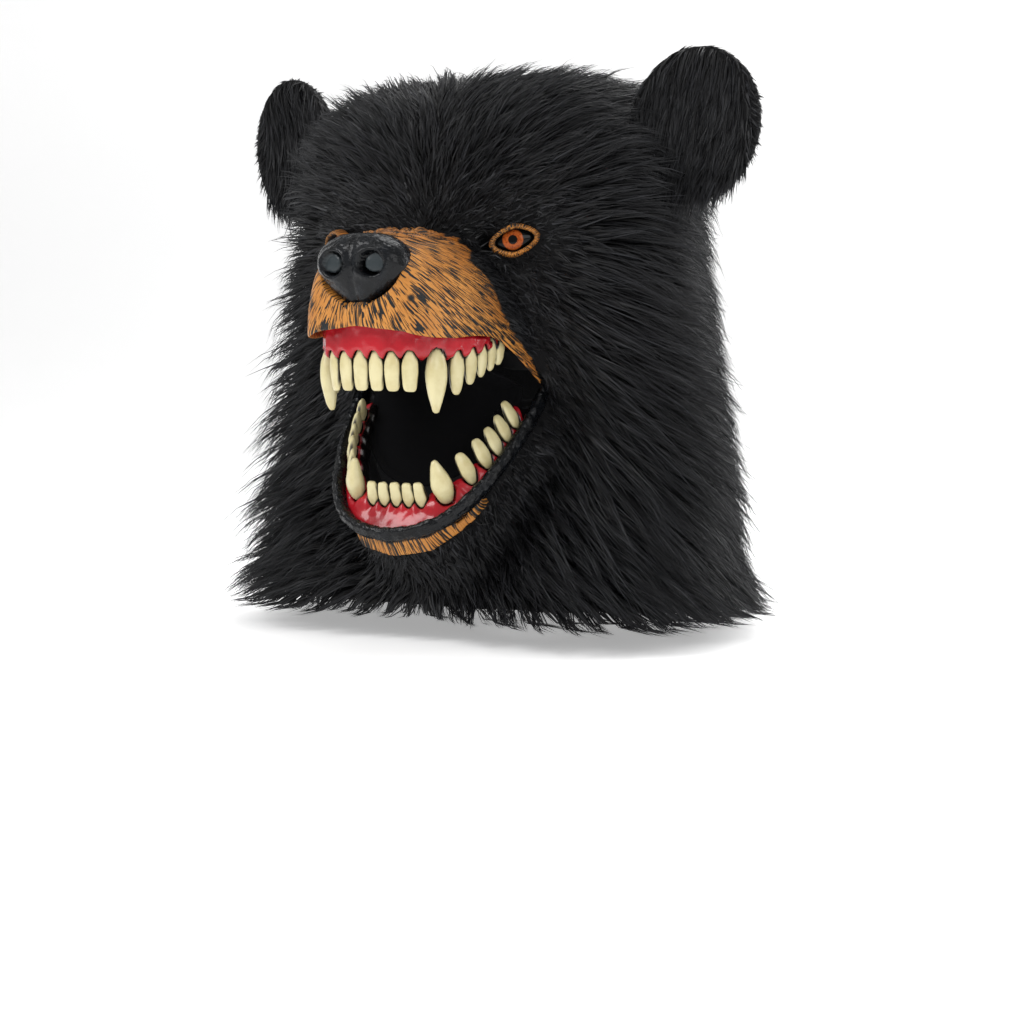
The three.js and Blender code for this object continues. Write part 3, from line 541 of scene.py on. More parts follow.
@dataclass
class Coat:
    """The whole coat: roots on the hood's outer face, locks of strands that follow the lie of the pile."""

    pile: float = 0.036
    face_pile: float = 0.007
    neck_pile: float = 0.052
    strand_width: float = 0.00122
    short_width: float = 0.0010
    side_growth: float = 1.2
    cheek_growth: float = 0.35
    clump: float = 0.5
    neck_clump: float = 0.85
    waver: float = 0.16
    droop: float = 0.28
    stray: float = 0.10
    twist: float = 0.6
    lowest: float = -0.380
    widest: float = 0.230
    pull_in: float = 0.87
    steps: int = 3
    rng: np.random.Generator = field(default_factory=lambda: np.random.default_rng(SEED))

    def sample(self, piece: bpy.types.Object, count: int) -> tuple[Array, Array]:
        """Random roots on a mesh, evenly by area.

        Args:
            piece: the mesh.
            count: how many roots.

        Returns:
            The roots and the normals there.
        """
        mesh = piece.data
        mesh.calc_loop_triangles()
        corners = np.empty(len(mesh.loop_triangles) * 3, np.int32)
        mesh.loop_triangles.foreach_get("vertices", corners)
        triangles = corners.reshape(-1, 3)
        points, normals = points_of(piece), normals_of(piece)
        first, second, third = (points[triangles[:, k]] for k in range(3))
        area = np.linalg.norm(np.cross(second - first, third - first), axis=1)
        chosen = self.rng.choice(len(triangles), count, p=area / area.sum())
        one, two = self.rng.random((2, count))
        folded = one + two > 1
        one, two = np.where(folded, 1 - one, one), np.where(folded, 1 - two, two)
        weights = np.stack([1 - one - two, one, two], axis=1)[:, :, None]
        picked = triangles[chosen]
        return (points[picked] * weights).sum(1), unit((normals[picked] * weights).sum(1))

    def lie(self, roots: Array, normals: Array) -> Array:
        """Which way the pile lies on the head.

        Args:
            roots: the roots.
            normals: the normals there.

        Returns:
            Unit directions along the surface.
        """
        x, y, z = roots.T
        side = np.tanh(x / 0.012)
        bridge = -0.125
        brow = np.stack([1.9 * x + 0.012 * side, 0 * x, z - bridge + 0.015], axis=1)
        crown = np.stack([0.75 * side, 0.8 + 0 * x, 0 * x], axis=1)
        cheek = np.stack([0.55 * side, 0.75 + 0 * x, -mix(0.25, 1.1, smooth(-z, 0.14, 0.36))], axis=1)
        nape = np.stack([0.15 * side, 0 * x, -1 + 0 * x], axis=1)
        throat = np.stack([0.55 * side, 0.2 + 0 * x, -0.9 + 0 * x], axis=1)
        front = smooth(-y, 0.02, 0.085)[:, None]
        high = smooth(z, -0.125, -0.085)[:, None]
        top = smooth(normals[:, 2], 0.35, 0.8)[:, None]
        back = smooth(y, -0.01, 0.07)[:, None]
        middle = (smooth(-np.abs(x), -0.085, -0.03) * smooth(-z, 0.26, 0.30))[:, None]
        flow = mix(unit(cheek), unit(brow), front * high)
        flow = mix(flow, unit(throat), front * middle)
        flow = mix(flow, unit(nape), back)
        flow = mix(flow, unit(crown), top)
        return along_surface(flow, normals)

    def length(self, roots: Array, gap: Array) -> Array:
        """How long the pile is.

        Args:
            roots: the roots.
            gap: the distance from the moulded face and the eyes.

        Returns:
            The length at each root.
        """
        x, y, z = roots.T
        long = mix(self.pile, self.neck_pile, smooth(-z, 0.14, 0.32))
        long = mix(long, self.pile * 1.05, smooth(y, 0.0, 0.1))
        long = long * mix(1.0, self.side_growth, smooth(np.abs(x), 0.08, 0.13))
        cheek = smooth(np.abs(x), 0.085, 0.115) * smooth(-y, 0.0, 0.04)
        cheek = cheek * smooth(-z, 0.03, 0.09) * smooth(z, -0.33, -0.25)
        long = long * (1 + self.cheek_growth * cheek)
        face = smooth(gap, 0.004, 0.06) * mix(0.55, 1.0, smooth(np.abs(x), 0.03, 0.1))
        front = smooth(-y, 0.03, 0.08)
        return mix(long, mix(self.face_pile, long, face), front)

    def comb(
        self, roots: Array, normals: Array, flow: Array, length: Array, lift: Array, tree: BVHTree
    ) -> Array:
        """Grows the guide hairs, which droop and stay off the surface.

        Args:
            roots: where they start.
            normals: the surface's normals there.
            flow: which way they lie.
            length: how long they are.
            lift: how steeply they stand at the root.
            tree: the surface that they lie on.

        Returns:
            Points of each guide, root to tip.
        """
        count = self.steps
        curve = np.empty((len(roots), count + 1, 3))
        curve[:, 0] = roots
        turn = self.rng.normal(0, self.waver, (len(roots), 3))
        for step in range(count):
            share = step / count
            heading = flow + normals * (lift * (1 - share) ** 1.5)[:, None] + turn * (0.4 + share)
            heading[:, 2] -= self.droop * share
            point = curve[:, step] + unit(heading) * (length / count)[:, None]
            for index, place in enumerate(point):
                near, facing, _, gap = tree.find_nearest(Vector(place), 0.05)
                if near is None:
                    continue
                away = (Vector(place) - near).dot(facing)
                rise = (0.2 + share) * min(0.004, length[index] * 0.12) - away
                if rise > 0 and gap < 0.03:
                    point[index] += np.array(facing) * rise
            curve[:, step + 1] = point
        return curve

    def strands(self, roots: Array, guides: Array) -> tuple[Array, Array]:
        """Strands that follow their nearest guide and draw together towards its tip.

        Args:
            roots: the strands' roots.
            guides: the guide curves.

        Returns:
            The strands' curves and their own random numbers.
        """
        near = KDTree(len(guides))
        for index, root in enumerate(guides[:, 0]):
            near.insert(Vector(root), index)
        near.balance()
        owner = np.array([near.find(Vector(root))[1] for root in roots])
        own = self.rng.random(len(roots))
        along = np.linspace(0, 1, self.steps + 1)[None, :, None]
        offset = (roots - guides[owner, 0])[:, None, :]
        clump = mix(self.clump, self.neck_clump, smooth(-roots[:, 2], 0.16, 0.34))[:, None, None]
        pull = clump * along**1.3 * (0.6 + 0.8 * self.rng.random((len(roots), 1, 1))).clip(0, 1.1)
        reach = (0.72 + 0.45 * self.rng.random((len(roots), 1, 1))) * np.ones_like(along)
        spread = (guides[owner, -1] - guides[owner, 0]).std() * self.stray
        stray = self.rng.normal(0, 1, (len(roots), 1, 3)) * spread
        curve = roots[:, None, :] + (guides[owner] - guides[owner, :1]) * reach
        curve = curve - offset * pull + stray * along**2
        curve[:, :, 2] += self.pull_in * np.maximum(self.lowest - curve[:, :, 2], 0)
        beyond = np.maximum(np.abs(curve[:, :, 0]) - self.widest, 0)
        curve[:, :, 0] -= self.pull_in * np.sign(curve[:, :, 0]) * beyond
        return curve, own

    def mesh(self, name: str, curve: Array, own: Array, across: Array, width: float) -> bpy.types.Object:
        """One mesh of tapered strands.

        Args:
            name: the piece's name.
            curve: the strands' points, root to tip.
            own: a random number for each strand.
            across: the direction of each strand's width.
            width: the width at the root.

        Returns:
            The piece, with the strand's number and the way along it as its UV map.
        """
        count, rings = curve.shape[0], curve.shape[1]
        taper = np.linspace(1, 0.35, rings - 1) * width / 2
        broad = taper[None, :, None] * (0.6 + 0.8 * own)[:, None, None] * across[:, None, :]
        left, right = curve[:, :-1] - broad, curve[:, :-1] + broad
        pairs = np.stack([left, right], axis=2).reshape(count, -1, 3)
        points = np.concatenate([pairs, curve[:, -1:]], axis=1)
        each = points.shape[1]
        start = np.arange(count)[:, None] * each
        quads = [[2 * k, 2 * k + 1, 2 * k + 3, 2 * k + 2] for k in range(rings - 2)]
        tip = [2 * (rings - 2), 2 * (rings - 2) + 1, each - 1]
        order = np.array([corner for quad in quads for corner in quad] + tip)
        loops = (start + order[None, :]).ravel()
        sizes = np.tile([4] * len(quads) + [3], count)
        begins = np.concatenate([[0], np.cumsum(sizes)[:-1]])
        mesh = bpy.data.meshes.new(name)
        mesh.vertices.add(count * each)
        mesh.vertices.foreach_set("co", points.astype(np.float32).ravel())
        mesh.loops.add(len(loops))
        mesh.loops.foreach_set("vertex_index", loops.astype(np.int32))
        mesh.polygons.add(len(sizes))
        mesh.polygons.foreach_set("loop_start", begins.astype(np.int32))
        mesh.polygons.foreach_set("use_smooth", np.ones(len(sizes), bool))
        layer = mesh.uv_layers.new(name="strand")
        level = np.array([(corner // 2) / (rings - 1) for corner in range(each - 1)] + [1.0])[order]
        coordinates = np.stack([np.repeat(own, len(order)), np.tile(level, count)], axis=1)
        layer.data.foreach_set("uv", coordinates.astype(np.float32).ravel())
        mesh.update()
        mesh.validate()
        piece = bpy.data.objects.new(name, mesh)
        bpy.context.scene.collection.objects.link(piece)
        return piece

    def patch(
        self, name: str, roots: Array, normals: Array, flow: Array, length: Array, lift: float, tree: BVHTree
    ) -> bpy.types.Object:
        """A patch of short pile, guided by its first roots.

        Args:
            name: the piece's name.
            roots: the strands' roots.
            normals: the normals there.
            flow: which way they lie.
            length: the length of each guide, of which there are fewer than roots.
            lift: how steeply they stand at the root.
            tree: the surface that they lie on.

        Returns:
            The piece.
        """
        count = len(length)
        lifts = np.full(count, lift)
        guides = self.comb(roots[:count], normals[:count], flow[:count], length, lifts, tree)
        curve, own = self.strands(roots, guides)
        return self.mesh(name, curve, own, self.across(curve, normals), self.short_width)

    def across(self, curve: Array, normals: Array) -> Array:
        """The width's direction: along the surface, turned a little at random."""
        run = unit(curve[:, -1] - curve[:, 0])
        flat = unit(np.cross(run, normals))
        turn = self.rng.normal(0, self.twist, (len(curve), 1))
        return unit(flat * np.cos(turn) + np.cross(run, flat) * np.sin(turn))


@dataclass
class Head:
    """The padded hood and the coat on it."""

    frame: dict
    coat: Coat
    voxel: float = 0.0062
    mouth_half_width: float = 0.0825
    mouth_top: float = -0.184
    hem: float = -0.3735
    corner_y: float = -0.062
    corner_z: float = -0.212
    gape: float = math.radians(48)
    strand_count: int = 82000
    guide_count: int = 9000
    front: float = 0.9
    back: float = 2.2
    jaw_top: float = -0.2

    def build_hood(self) -> bpy.types.Object:
        """The foam hood, rounded from its solid."""
        hood = copy_node(self.frame, "hood", "padded_hood")
        apply_modifier(hood, "REMESH", mode="VOXEL", voxel_size=self.voxel, use_smooth_shade=True)
        apply_modifier(hood, "SMOOTH", factor=0.6, iterations=8)
        return hood

    def outer(self, points: Array, normals: Array, tree: BVHTree, covers: BVHTree) -> Array:
        """Which points of the hood are bare outer skin.

        Args:
            points: points on the hood.
            normals: the normals there.
            tree: the hood.
            covers: the moulded pieces that lie on it.

        Returns:
            True for each point that fur grows on.
        """
        x, y, z = points.T
        outwards = normals[:, 0] * x + normals[:, 1] * (y + 0.005) > 0
        outwards |= (normals[:, 2] > 0.4) & (z > -0.02)
        jaw_plane = self.corner_z - (self.corner_y - y) * math.tan(self.gape)
        mouth = (np.abs(x) < self.mouth_half_width) & (y < self.corner_y)
        mouth = mouth & (z < self.mouth_top) & (z > jaw_plane - 0.004)
        keep = outwards & ~mouth & (z > self.hem)
        for index in np.flatnonzero(keep):
            start, out = Vector(points[index]), Vector(normals[index])
            hidden = tree.ray_cast(start + out * 0.0008, out, 0.10)[0] is not None
            keep[index] = not (hidden or covers.ray_cast(start, out, 0.09)[0] is not None)
        return keep

    def build(self) -> None:
        """Builds the hood and its coat."""
        hood = self.build_hood()
        nodes = self.frame["nodes"]
        tree = tree_of(hood)
        moulded = ["muzzle", "chin", "lower_lip", "lower_gum", "eyelid_left", "eyelid_right"]
        covers = tree_of(*(nodes[name] for name in moulded))
        roots, normals = self.coat.sample(hood, 3 * self.strand_count)
        keep = np.flatnonzero(self.outer(roots, normals, tree, covers))
        LOG.info("fur roots kept: %d of %d", len(keep), len(roots))
        roots, normals = roots[keep], normals[keep]
        picked = self.coat.rng.permutation(len(roots))
        guide = picked[: self.guide_count]
        gap = distances(covers, roots[guide], 0.12)
        flow = self.coat.lie(roots[guide], normals[guide])
        length = self.coat.length(roots[guide], gap)
        length *= 0.8 + 0.4 * self.coat.rng.random(len(guide))
        lift = mix(0.3, 1.05, smooth(length, 0.012, 0.04))
        guides = self.coat.comb(roots[guide], normals[guide], flow, length, lift, tree)
        rest = picked[: self.strand_count]
        curve, own = self.coat.strands(roots[rest], guides)
        across = self.coat.across(curve, normals[rest])
        x, y, z = roots[rest].T
        heading = np.arctan2(x, -y)
        material = FurFinish().make()
        crown = normals[rest][:, 2] > 0.5
        ahead = ~crown & (np.abs(heading) < self.front)
        behind = ~crown & (np.abs(heading) >= self.back)
        beside = ~(crown | ahead | behind)
        low = z < self.jaw_top
        parts = {
            "crown_fur": crown,
            "brow_fur": ahead & ~low,
            "jaw_fur": ahead & low,
            "left_fur": beside & (heading > 0),
            "right_fur": beside & (heading < 0),
            "nape_fur": behind,
        }
        for name, chosen in parts.items():
            width = self.coat.strand_width
            piece = self.coat.mesh(name, curve[chosen], own[chosen], across[chosen], width)
            finish(piece, material, "fur", "fur_coat")
            LOG.info("%s: %d strands", name, chosen.sum())
        keep_numbers(hood, outside=self.facing_out(hood))
        finish(hood, HoodFinish().make(), "foam", "hood")

    def facing_out(self, hood: bpy.types.Object) -> Array:
        """1 where the hood faces outwards."""
        points, normals = points_of(hood), normals_of(hood)
        outwards = normals[:, 0] * points[:, 0] + normals[:, 1] * (points[:, 1] + 0.005) > 0
        return outwards | ((normals[:, 2] > 0.3) & (points[:, 2] > -0.05))


@dataclass
class Ears:
    """The two round ears with their short pile."""

    frame: dict
    coat: Coat
    strand_count: int = 8500
    guide_count: int = 2200
    pile: float = 0.0050
    hanging_pile: float = 0.018
    lift: float = 0.18

    def build(self) -> None:
        """Builds both ears."""
        material = FurFinish(name="ear_fur_finish").make()
        skin = HoodFinish(name="ear_finish", inside=(0.004, 0.004, 0.0045)).make()
        for side in Side:
            ear = copy_node(self.frame, f"ear_{side.word}", f"{side.word}_ear")
            apply_modifier(ear, "SUBSURF", levels=2, render_levels=2)
            keep_numbers(ear, outside=np.ones(len(ear.data.vertices)))
            smooth_shading(ear)
            finish(ear, skin, "ear_fur", f"ear_{side.word}")
            self.cover(side, ear, material)

    def cover(self, side: Side, ear: bpy.types.Object, material: bpy.types.Material) -> None:
        """Grows the pile of one ear, long where it hangs in the bowl and short elsewhere."""
        low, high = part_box(f"ear_{side.word}")
        centre = np.array((low + high) / 2)
        roots, normals = self.coat.sample(ear, self.strand_count)
        away = roots - centre
        inside = smooth(-normals[:, 1], 0.2, 0.7) * smooth(-np.abs(away[:, 0]), -0.045, -0.03)
        rim = unit(away * np.array([1, 0, 1])) * 0.35 + np.array([0.25 * side.value, 0.35, -0.35])
        hang = np.array([-0.15 * side.value, -0.2, -1.0]) + 0 * away
        flow = along_surface(mix(unit(rim), unit(hang), inside[:, None]), normals)
        tree = tree_of(ear)
        guide = np.arange(self.guide_count)
        uneven = 0.75 + 0.5 * self.coat.rng.random(len(guide))
        length = mix(self.pile, self.hanging_pile, inside[guide]) * uneven
        name = f"{side.word}_ear_fur"
        finish(self.coat.patch(name, roots, normals, flow, length, self.lift, tree), material, "ear_fur")


# The moulded face


# The muzzle's sections from the cheek to the tip, in shares: reach, half width, lip's drop, top's drop
MUZZLE_ROWS = [
    (0.33, 1.38, 1.46, 0.14),
    (0.43, 1.34, 1.28, 0.08),
    (0.53, 1.27, 1.10, 0.04),
    (0.63, 1.22, 1.00, 0.01),
    (0.73, 1.15, 0.99, 0.00),
    (0.83, 1.06, 1.01, 0.03),
    (0.91, 0.95, 1.00, 0.07),
    (0.96, 0.80, 0.98, 0.13),
    (0.985, 0.58, 0.94, 0.20),
    (1.0, 0.26, 0.92, 0.30),
]

# Where the tan paint ends and the fur begins, by the way round: 0 at the bridge, 1 at the lip
PAINT_EDGE = (
    (0.0, 0.2),
    (0.2, 0.33),
    (0.3, 0.30),
    (0.4, 0.28),
    (0.54, 0.37),
    (0.68, 0.30),
    (0.78, 0.28),
    (0.86, 0.26),
    (0.92, 0.21),
    (0.965, 0.08),
    (1.0, 0.02),
)


@dataclass
class Muzzle:
    """The moulded upper muzzle with its painted hair strokes, its rear edge under short fur."""

    coat: Coat
    reach: float = 0.193
    half_width: float = 0.056
    top: float = -0.099
    height: float = 0.077
    squareness: float = 2.4
    wall: float = 0.004
    around: int = 44
    along: int = 32
    table: int = 110
    nose: tuple = (0.0, -0.181, -0.126)
    nose_half_width: float = 0.036
    nose_half_height: float = 0.028
    nose_bed: float = -0.172
    lock_rise: float = 0.0044
    lock_grain: tuple = (13, 62, 3)
    mole: tuple = (0.79, 0.895)
    fur_lift: float = 0.22
    fur_strands: int = 10000
    fur_guides: int = 1500

    def form(self, row: Array, turn: Array) -> Array:
        """Points of the muzzle's skin.

        Args:
            row: the way from the cheek to the tip, 0 to 1.
            turn: the way round from the right lip over the bridge to the left lip, 0 to 1.

        Returns:
            The points in metres.
        """
        last = len(MUZZLE_ROWS) - 1
        at = np.asarray(row) * last
        index = np.minimum(at.astype(int), last - 1)
        share = at - index
        sizes = np.array(MUZZLE_ROWS)
        a, b, c, d = (sizes[np.clip(index + k, 0, last)].T for k in (-1, 0, 1, 2))
        line = 2 * b + (c - a) * share
        bend = (2 * a - 5 * b + 4 * c - d) * share**2 + (3 * b - a - 3 * c + d) * share**3
        reach, width, lip, top = 0.5 * (line + bend)
        angle = (np.asarray(turn) - 0.5) * math.pi
        power = 2 / self.squareness
        z_top, z_lip = self.top - top * self.height, self.top - lip * self.height
        x = self.half_width * width * signed_power(np.sin(angle), power)
        z = z_lip + (z_top - z_lip) * np.maximum(np.cos(angle), 0.0) ** power
        return np.stack([x, -self.reach * reach, z], axis=-1)

    def locate(self, points: Array) -> tuple[Array, Array]:
        """The row and the way round of the skin next to each point."""
        steps = np.linspace(0, 1, self.table)
        rows, turns = (grid.ravel() for grid in np.meshgrid(steps, steps, indexing="ij"))
        near = KDTree(len(rows))
        for index, place in enumerate(self.form(rows, turns)):
            near.insert(Vector(place), index)
        near.balance()
        found = np.array([near.find(Vector(point))[1] for point in points])
        return rows[found], turns[found]

    def furred(self, row: Array, turn: Array) -> Array:
        """How far behind the paint's edge a place lies: above 0 in the fur."""
        ways, edges = zip(*PAINT_EDGE)
        return np.interp(np.abs(2 * turn - 1), ways, edges) - row

    def build(self) -> None:
        """Builds the muzzle and the fur on its rear edge."""
        grid = {"x_subdivisions": self.along, "y_subdivisions": self.around, "size": 1}
        piece = added("painted_muzzle", bpy.ops.mesh.primitive_grid_add, **grid)
        row, turn, _ = (points_of(piece) + 0.5).T
        set_points(piece, self.form(np.clip(row, 0, 1), np.clip(turn, 0, 1)))
        self.close_tip(piece)
        apply_modifier(piece, "SOLIDIFY", thickness=self.wall * 0.6, offset=-1.0)
        apply_modifier(piece, "SUBSURF", levels=2, render_levels=2)
        self.shape(piece)
        smooth_shading(piece, 80)
        finish(piece, TanFinish().make(), "tan_rubber", "muzzle")
        self.cover(piece)

    def close_tip(self, piece: bpy.types.Object) -> None:
        """Fills the flat end under the nose and turns all faces outwards."""
        choose(piece)
        bpy.ops.object.mode_set(mode="EDIT")
        bpy.ops.mesh.select_all(action="DESELECT")
        bpy.ops.object.mode_set(mode="OBJECT")
        tip = -self.reach + 1e-5
        for vertex in piece.data.vertices:
            vertex.select = vertex.co.y < tip
        bpy.ops.object.mode_set(mode="EDIT")
        bpy.ops.mesh.select_mode(type="VERT")
        bpy.ops.mesh.edge_face_add()
        bpy.ops.object.mode_set(mode="OBJECT")
        face_outwards(piece)

    def shape(self, piece: bpy.types.Object) -> None:
        """Beds the nose, raises the locks on the bridge and keeps the numbers of the paint."""
        points = points_of(piece)
        x, _, z = (points - np.array(self.nose)).T
        bed = 1 - smooth(np.hypot(x / self.nose_half_width, z / self.nose_half_height), 0.8, 0.98)
        points[:, 1] = np.maximum(points[:, 1], mix(points[:, 1], self.nose_bed, bed))
        set_points(piece, points)
        row, turn = self.locate(points)
        way = np.abs(2 * turn - 1)
        around, away, side = hair_numbers(points, np.array(self.nose))
        places = np.stack([around, away, side], axis=1) * np.array(self.lock_grain)
        ridge = np.array([noise.noise(Vector(place)) for place in places])
        bridge = smooth(-way, -0.5, -0.25) * smooth(row, 0.08, 0.2) * smooth(-row, -0.74, -0.52)
        rise = ridge * self.lock_rise * (0.07 + bridge)
        set_points(piece, points + normals_of(piece) * rise[:, None])
        furred = self.furred(row, turn)
        mole = np.linalg.norm(points - self.form(*self.mole), axis=1)
        shade = 0.45 * smooth(furred, -0.2, 0.0) + 0.35 * bridge
        dark = np.maximum(smooth(furred, -0.012, 0.012), 1 - smooth(mole, 0.0016, 0.0034))
        margin = np.maximum(dark, smooth(-ridge, 0.02, 0.16) * bridge * 0.9)
        keep_numbers(piece, around=around, away=away, side=side, shade=shade, margin=margin)

    def cover(self, piece: bpy.types.Object) -> None:
        """Grows the short fur that hides the muzzle's rear edge."""
        roots, normals = self.coat.sample(piece, self.fur_strands * 7)
        centre = np.array([0, -0.11, -0.15])
        outer = ((roots - centre) * normals).sum(1) > 0
        roots, normals = roots[outer], normals[outer]
        furred = self.furred(*self.locate(roots))
        chosen = np.flatnonzero(furred > self.coat.rng.random(len(roots)) * 0.03 - 0.006)[: self.fur_strands]
        roots, normals, furred = roots[chosen], normals[chosen], furred[chosen]
        flow = along_surface(unit(roots - np.array(self.nose)) + np.array([0, 0.5, -0.1]), normals)
        uneven = 0.8 + 0.4 * self.coat.rng.random(len(roots))
        length = (mix(0.006, 0.016, smooth(furred, 0.0, 0.2)) * uneven)[: self.fur_guides]
        strands = self.coat.patch("muzzle_fur", roots, normals, flow, length, self.fur_lift, tree_of(piece))
        finish(strands, FurFinish(name="muzzle_fur_finish").make(), "fur")


def hair_numbers(
    points: Array, source: Array, drop: float = 0.5, above: float = 0.022
) -> tuple[Array, Array, Array]:
    """Where a place lies in the lie of the hair.

    Args:
        points: the places.
        source: where the hair comes from.
        drop: how steeply the hair falls towards the back.
        above: how far over the source the strokes meet.

    Returns:
        The angle round the source, the distance from it and the side.
    """
    x, y, z = (points - source).T
    around = np.arctan2(np.abs(x), -(z - above + drop * np.maximum(y, 0)))
    return around, np.linalg.norm(points - source, axis=1), np.tanh(x / 0.002)


@dataclass
class Nose:
    """The glossy pebbled nose with a plug in each nostril and painted shade in the nostrils' hollows."""

    width: float = 0.074
    height: float = 0.057
    depth: float = 0.037
    place: tuple = (0.0, -0.181, -0.1255)
    nostril: float = 0.0102
    spacing: float = 0.0160
    hollow: float = 0.0085
    plug: float = 0.62
    rim: float = 0.0017
    groove: float = 0.0014
    groove_width: float = 0.002
    pebble: float = 0.0024
    pebble_rise: float = 0.0007
    swelling: float = 0.0006

    def build(self) -> None:
        """Builds the nose."""
        sphere = {"segments": 150, "ring_count": 100, "radius": 1}
        piece = added("pebbled_nose", bpy.ops.mesh.primitive_uv_sphere_add, **sphere)
        x, y, z = points_of(piece).T
        narrow = np.where(z < 0, 1 - 0.60 * np.abs(z) ** 1.5, 1 - 0.06 * z)
        form = np.stack(
            [
                self.width / 2 * signed_power(x, 0.86) * narrow,
                self.depth / 2 * signed_power(y, 0.8) * np.where(z < 0, 1 + 0.12 * z, 1 - 0.1 * z),
                self.height / 2 * np.where(z > 0, signed_power(z, 0.75) * 0.78, signed_power(z, 0.95) * 1.06),
            ],
            axis=1,
        )
        accent = np.zeros(len(form))
        dark = np.zeros(len(form))
        for side in Side:
            across = (form[:, 0] - side.value * self.spacing) / self.nostril
            up = (form[:, 2] - 0.0005) / (self.nostril * 0.86)
            radius = np.hypot(across, up)
            ahead = form[:, 1] < 0
            pit = (1 - smooth(radius, 0.72, 1.02)) * self.hollow
            plug_radius = np.hypot(across - 0.12 * side.value, up - 0.05)
            plug = (1 - smooth(plug_radius, 0.70, 0.86)) * self.hollow * self.plug
            rim = np.exp(-(((radius - 1.2) / 0.24) ** 2)) * self.rim
            form[:, 1] += np.where(ahead, pit - plug - rim, 0)
            accent = np.maximum(accent, (1 - smooth(plug_radius, 0.66, 0.80)) * ahead)
            # Painted shade: the hollow of each nostril, round its plug, is coloured darker.
            dark = np.maximum(dark, (1 - smooth(radius, 0.85, 1.0)) * smooth(plug_radius, 0.72, 0.86) * ahead)
        groove = np.exp(-((form[:, 0] / self.groove_width) ** 2)) * self.groove
        form[:, 1] += groove * (form[:, 1] < 0)
        set_points(piece, form + np.array(self.place))
        points, normals = points_of(piece), normals_of(piece)
        pebbles = np.array([noise.voronoi(Vector(point) / self.pebble)[0][0] for point in points])
        swell = np.array([noise.noise(Vector(point) / 0.012) for point in points])
        rise = (0.45 - pebbles) * self.pebble_rise * (1 - accent) + swell * self.swelling
        set_points(piece, points + normals * rise[:, None])
        keep_numbers(piece, margin=dark, accent=accent)
        smooth_shading(piece, 80)
        look = GlossFinish(
            "nose_finish",
            (0.003, 0.0034, 0.0042),
            (0.008, 0.0095, 0.012),
            # The colour of the painted shade inside the nostrils.
            margin=(0.0012, 0.0012, 0.0015),
            accent=(0.034, 0.042, 0.046),
            roughness=0.14,
            coat=0.14,
            shine=0.16,
            grain=600,
            relief=0.7,
        )
        finish(piece, look.make(), "nose_rubber", "nose")


@dataclass
class ToothForm:
    """One kind of tooth: how round its root and tip are and how it narrows."""

    root_round: float
    tip_round: float
    root_width: float
    tip_width: float
    tip_depth: float
    curl: float

    def outline(self, way: Array) -> tuple[Array, Array]:
        """The shares of the half width and half depth along the crown, from -1 at the root to 1."""
        power = np.where(way < 0, self.root_round, self.tip_round)
        cap = np.clip(1 - np.abs(way) ** power, 0, 1) ** (1 / power)
        taper = mix(self.root_width, 1.0, smooth(way, -1.0, 0.0))
        taper = taper * mix(1.0, self.tip_width, smooth(way, -0.2, 1.0))
        return cap * taper, cap * mix(1.0, self.tip_depth, smooth(way, -0.3, 1.0))


TOOTH_FORMS = {
    "incisor": ToothForm(2.4, 4.6, 0.80, 0.86, 0.62, 0.0),
    "canine": ToothForm(2.6, 2.9, 0.86, 0.50, 0.60, 0.10),
    "tooth": ToothForm(2.4, 2.7, 0.84, 0.84, 0.7, 0.03),
}


@dataclass
class Seat:
    """Where one tooth sits: its middle, its half sizes and its own directions."""

    middle: Array
    half: Array
    axes: Array

    def local(self, points: Array) -> Array:
        """Points in the tooth's own frame: across, along the crown and outwards."""
        return (points - self.middle) @ self.axes.T


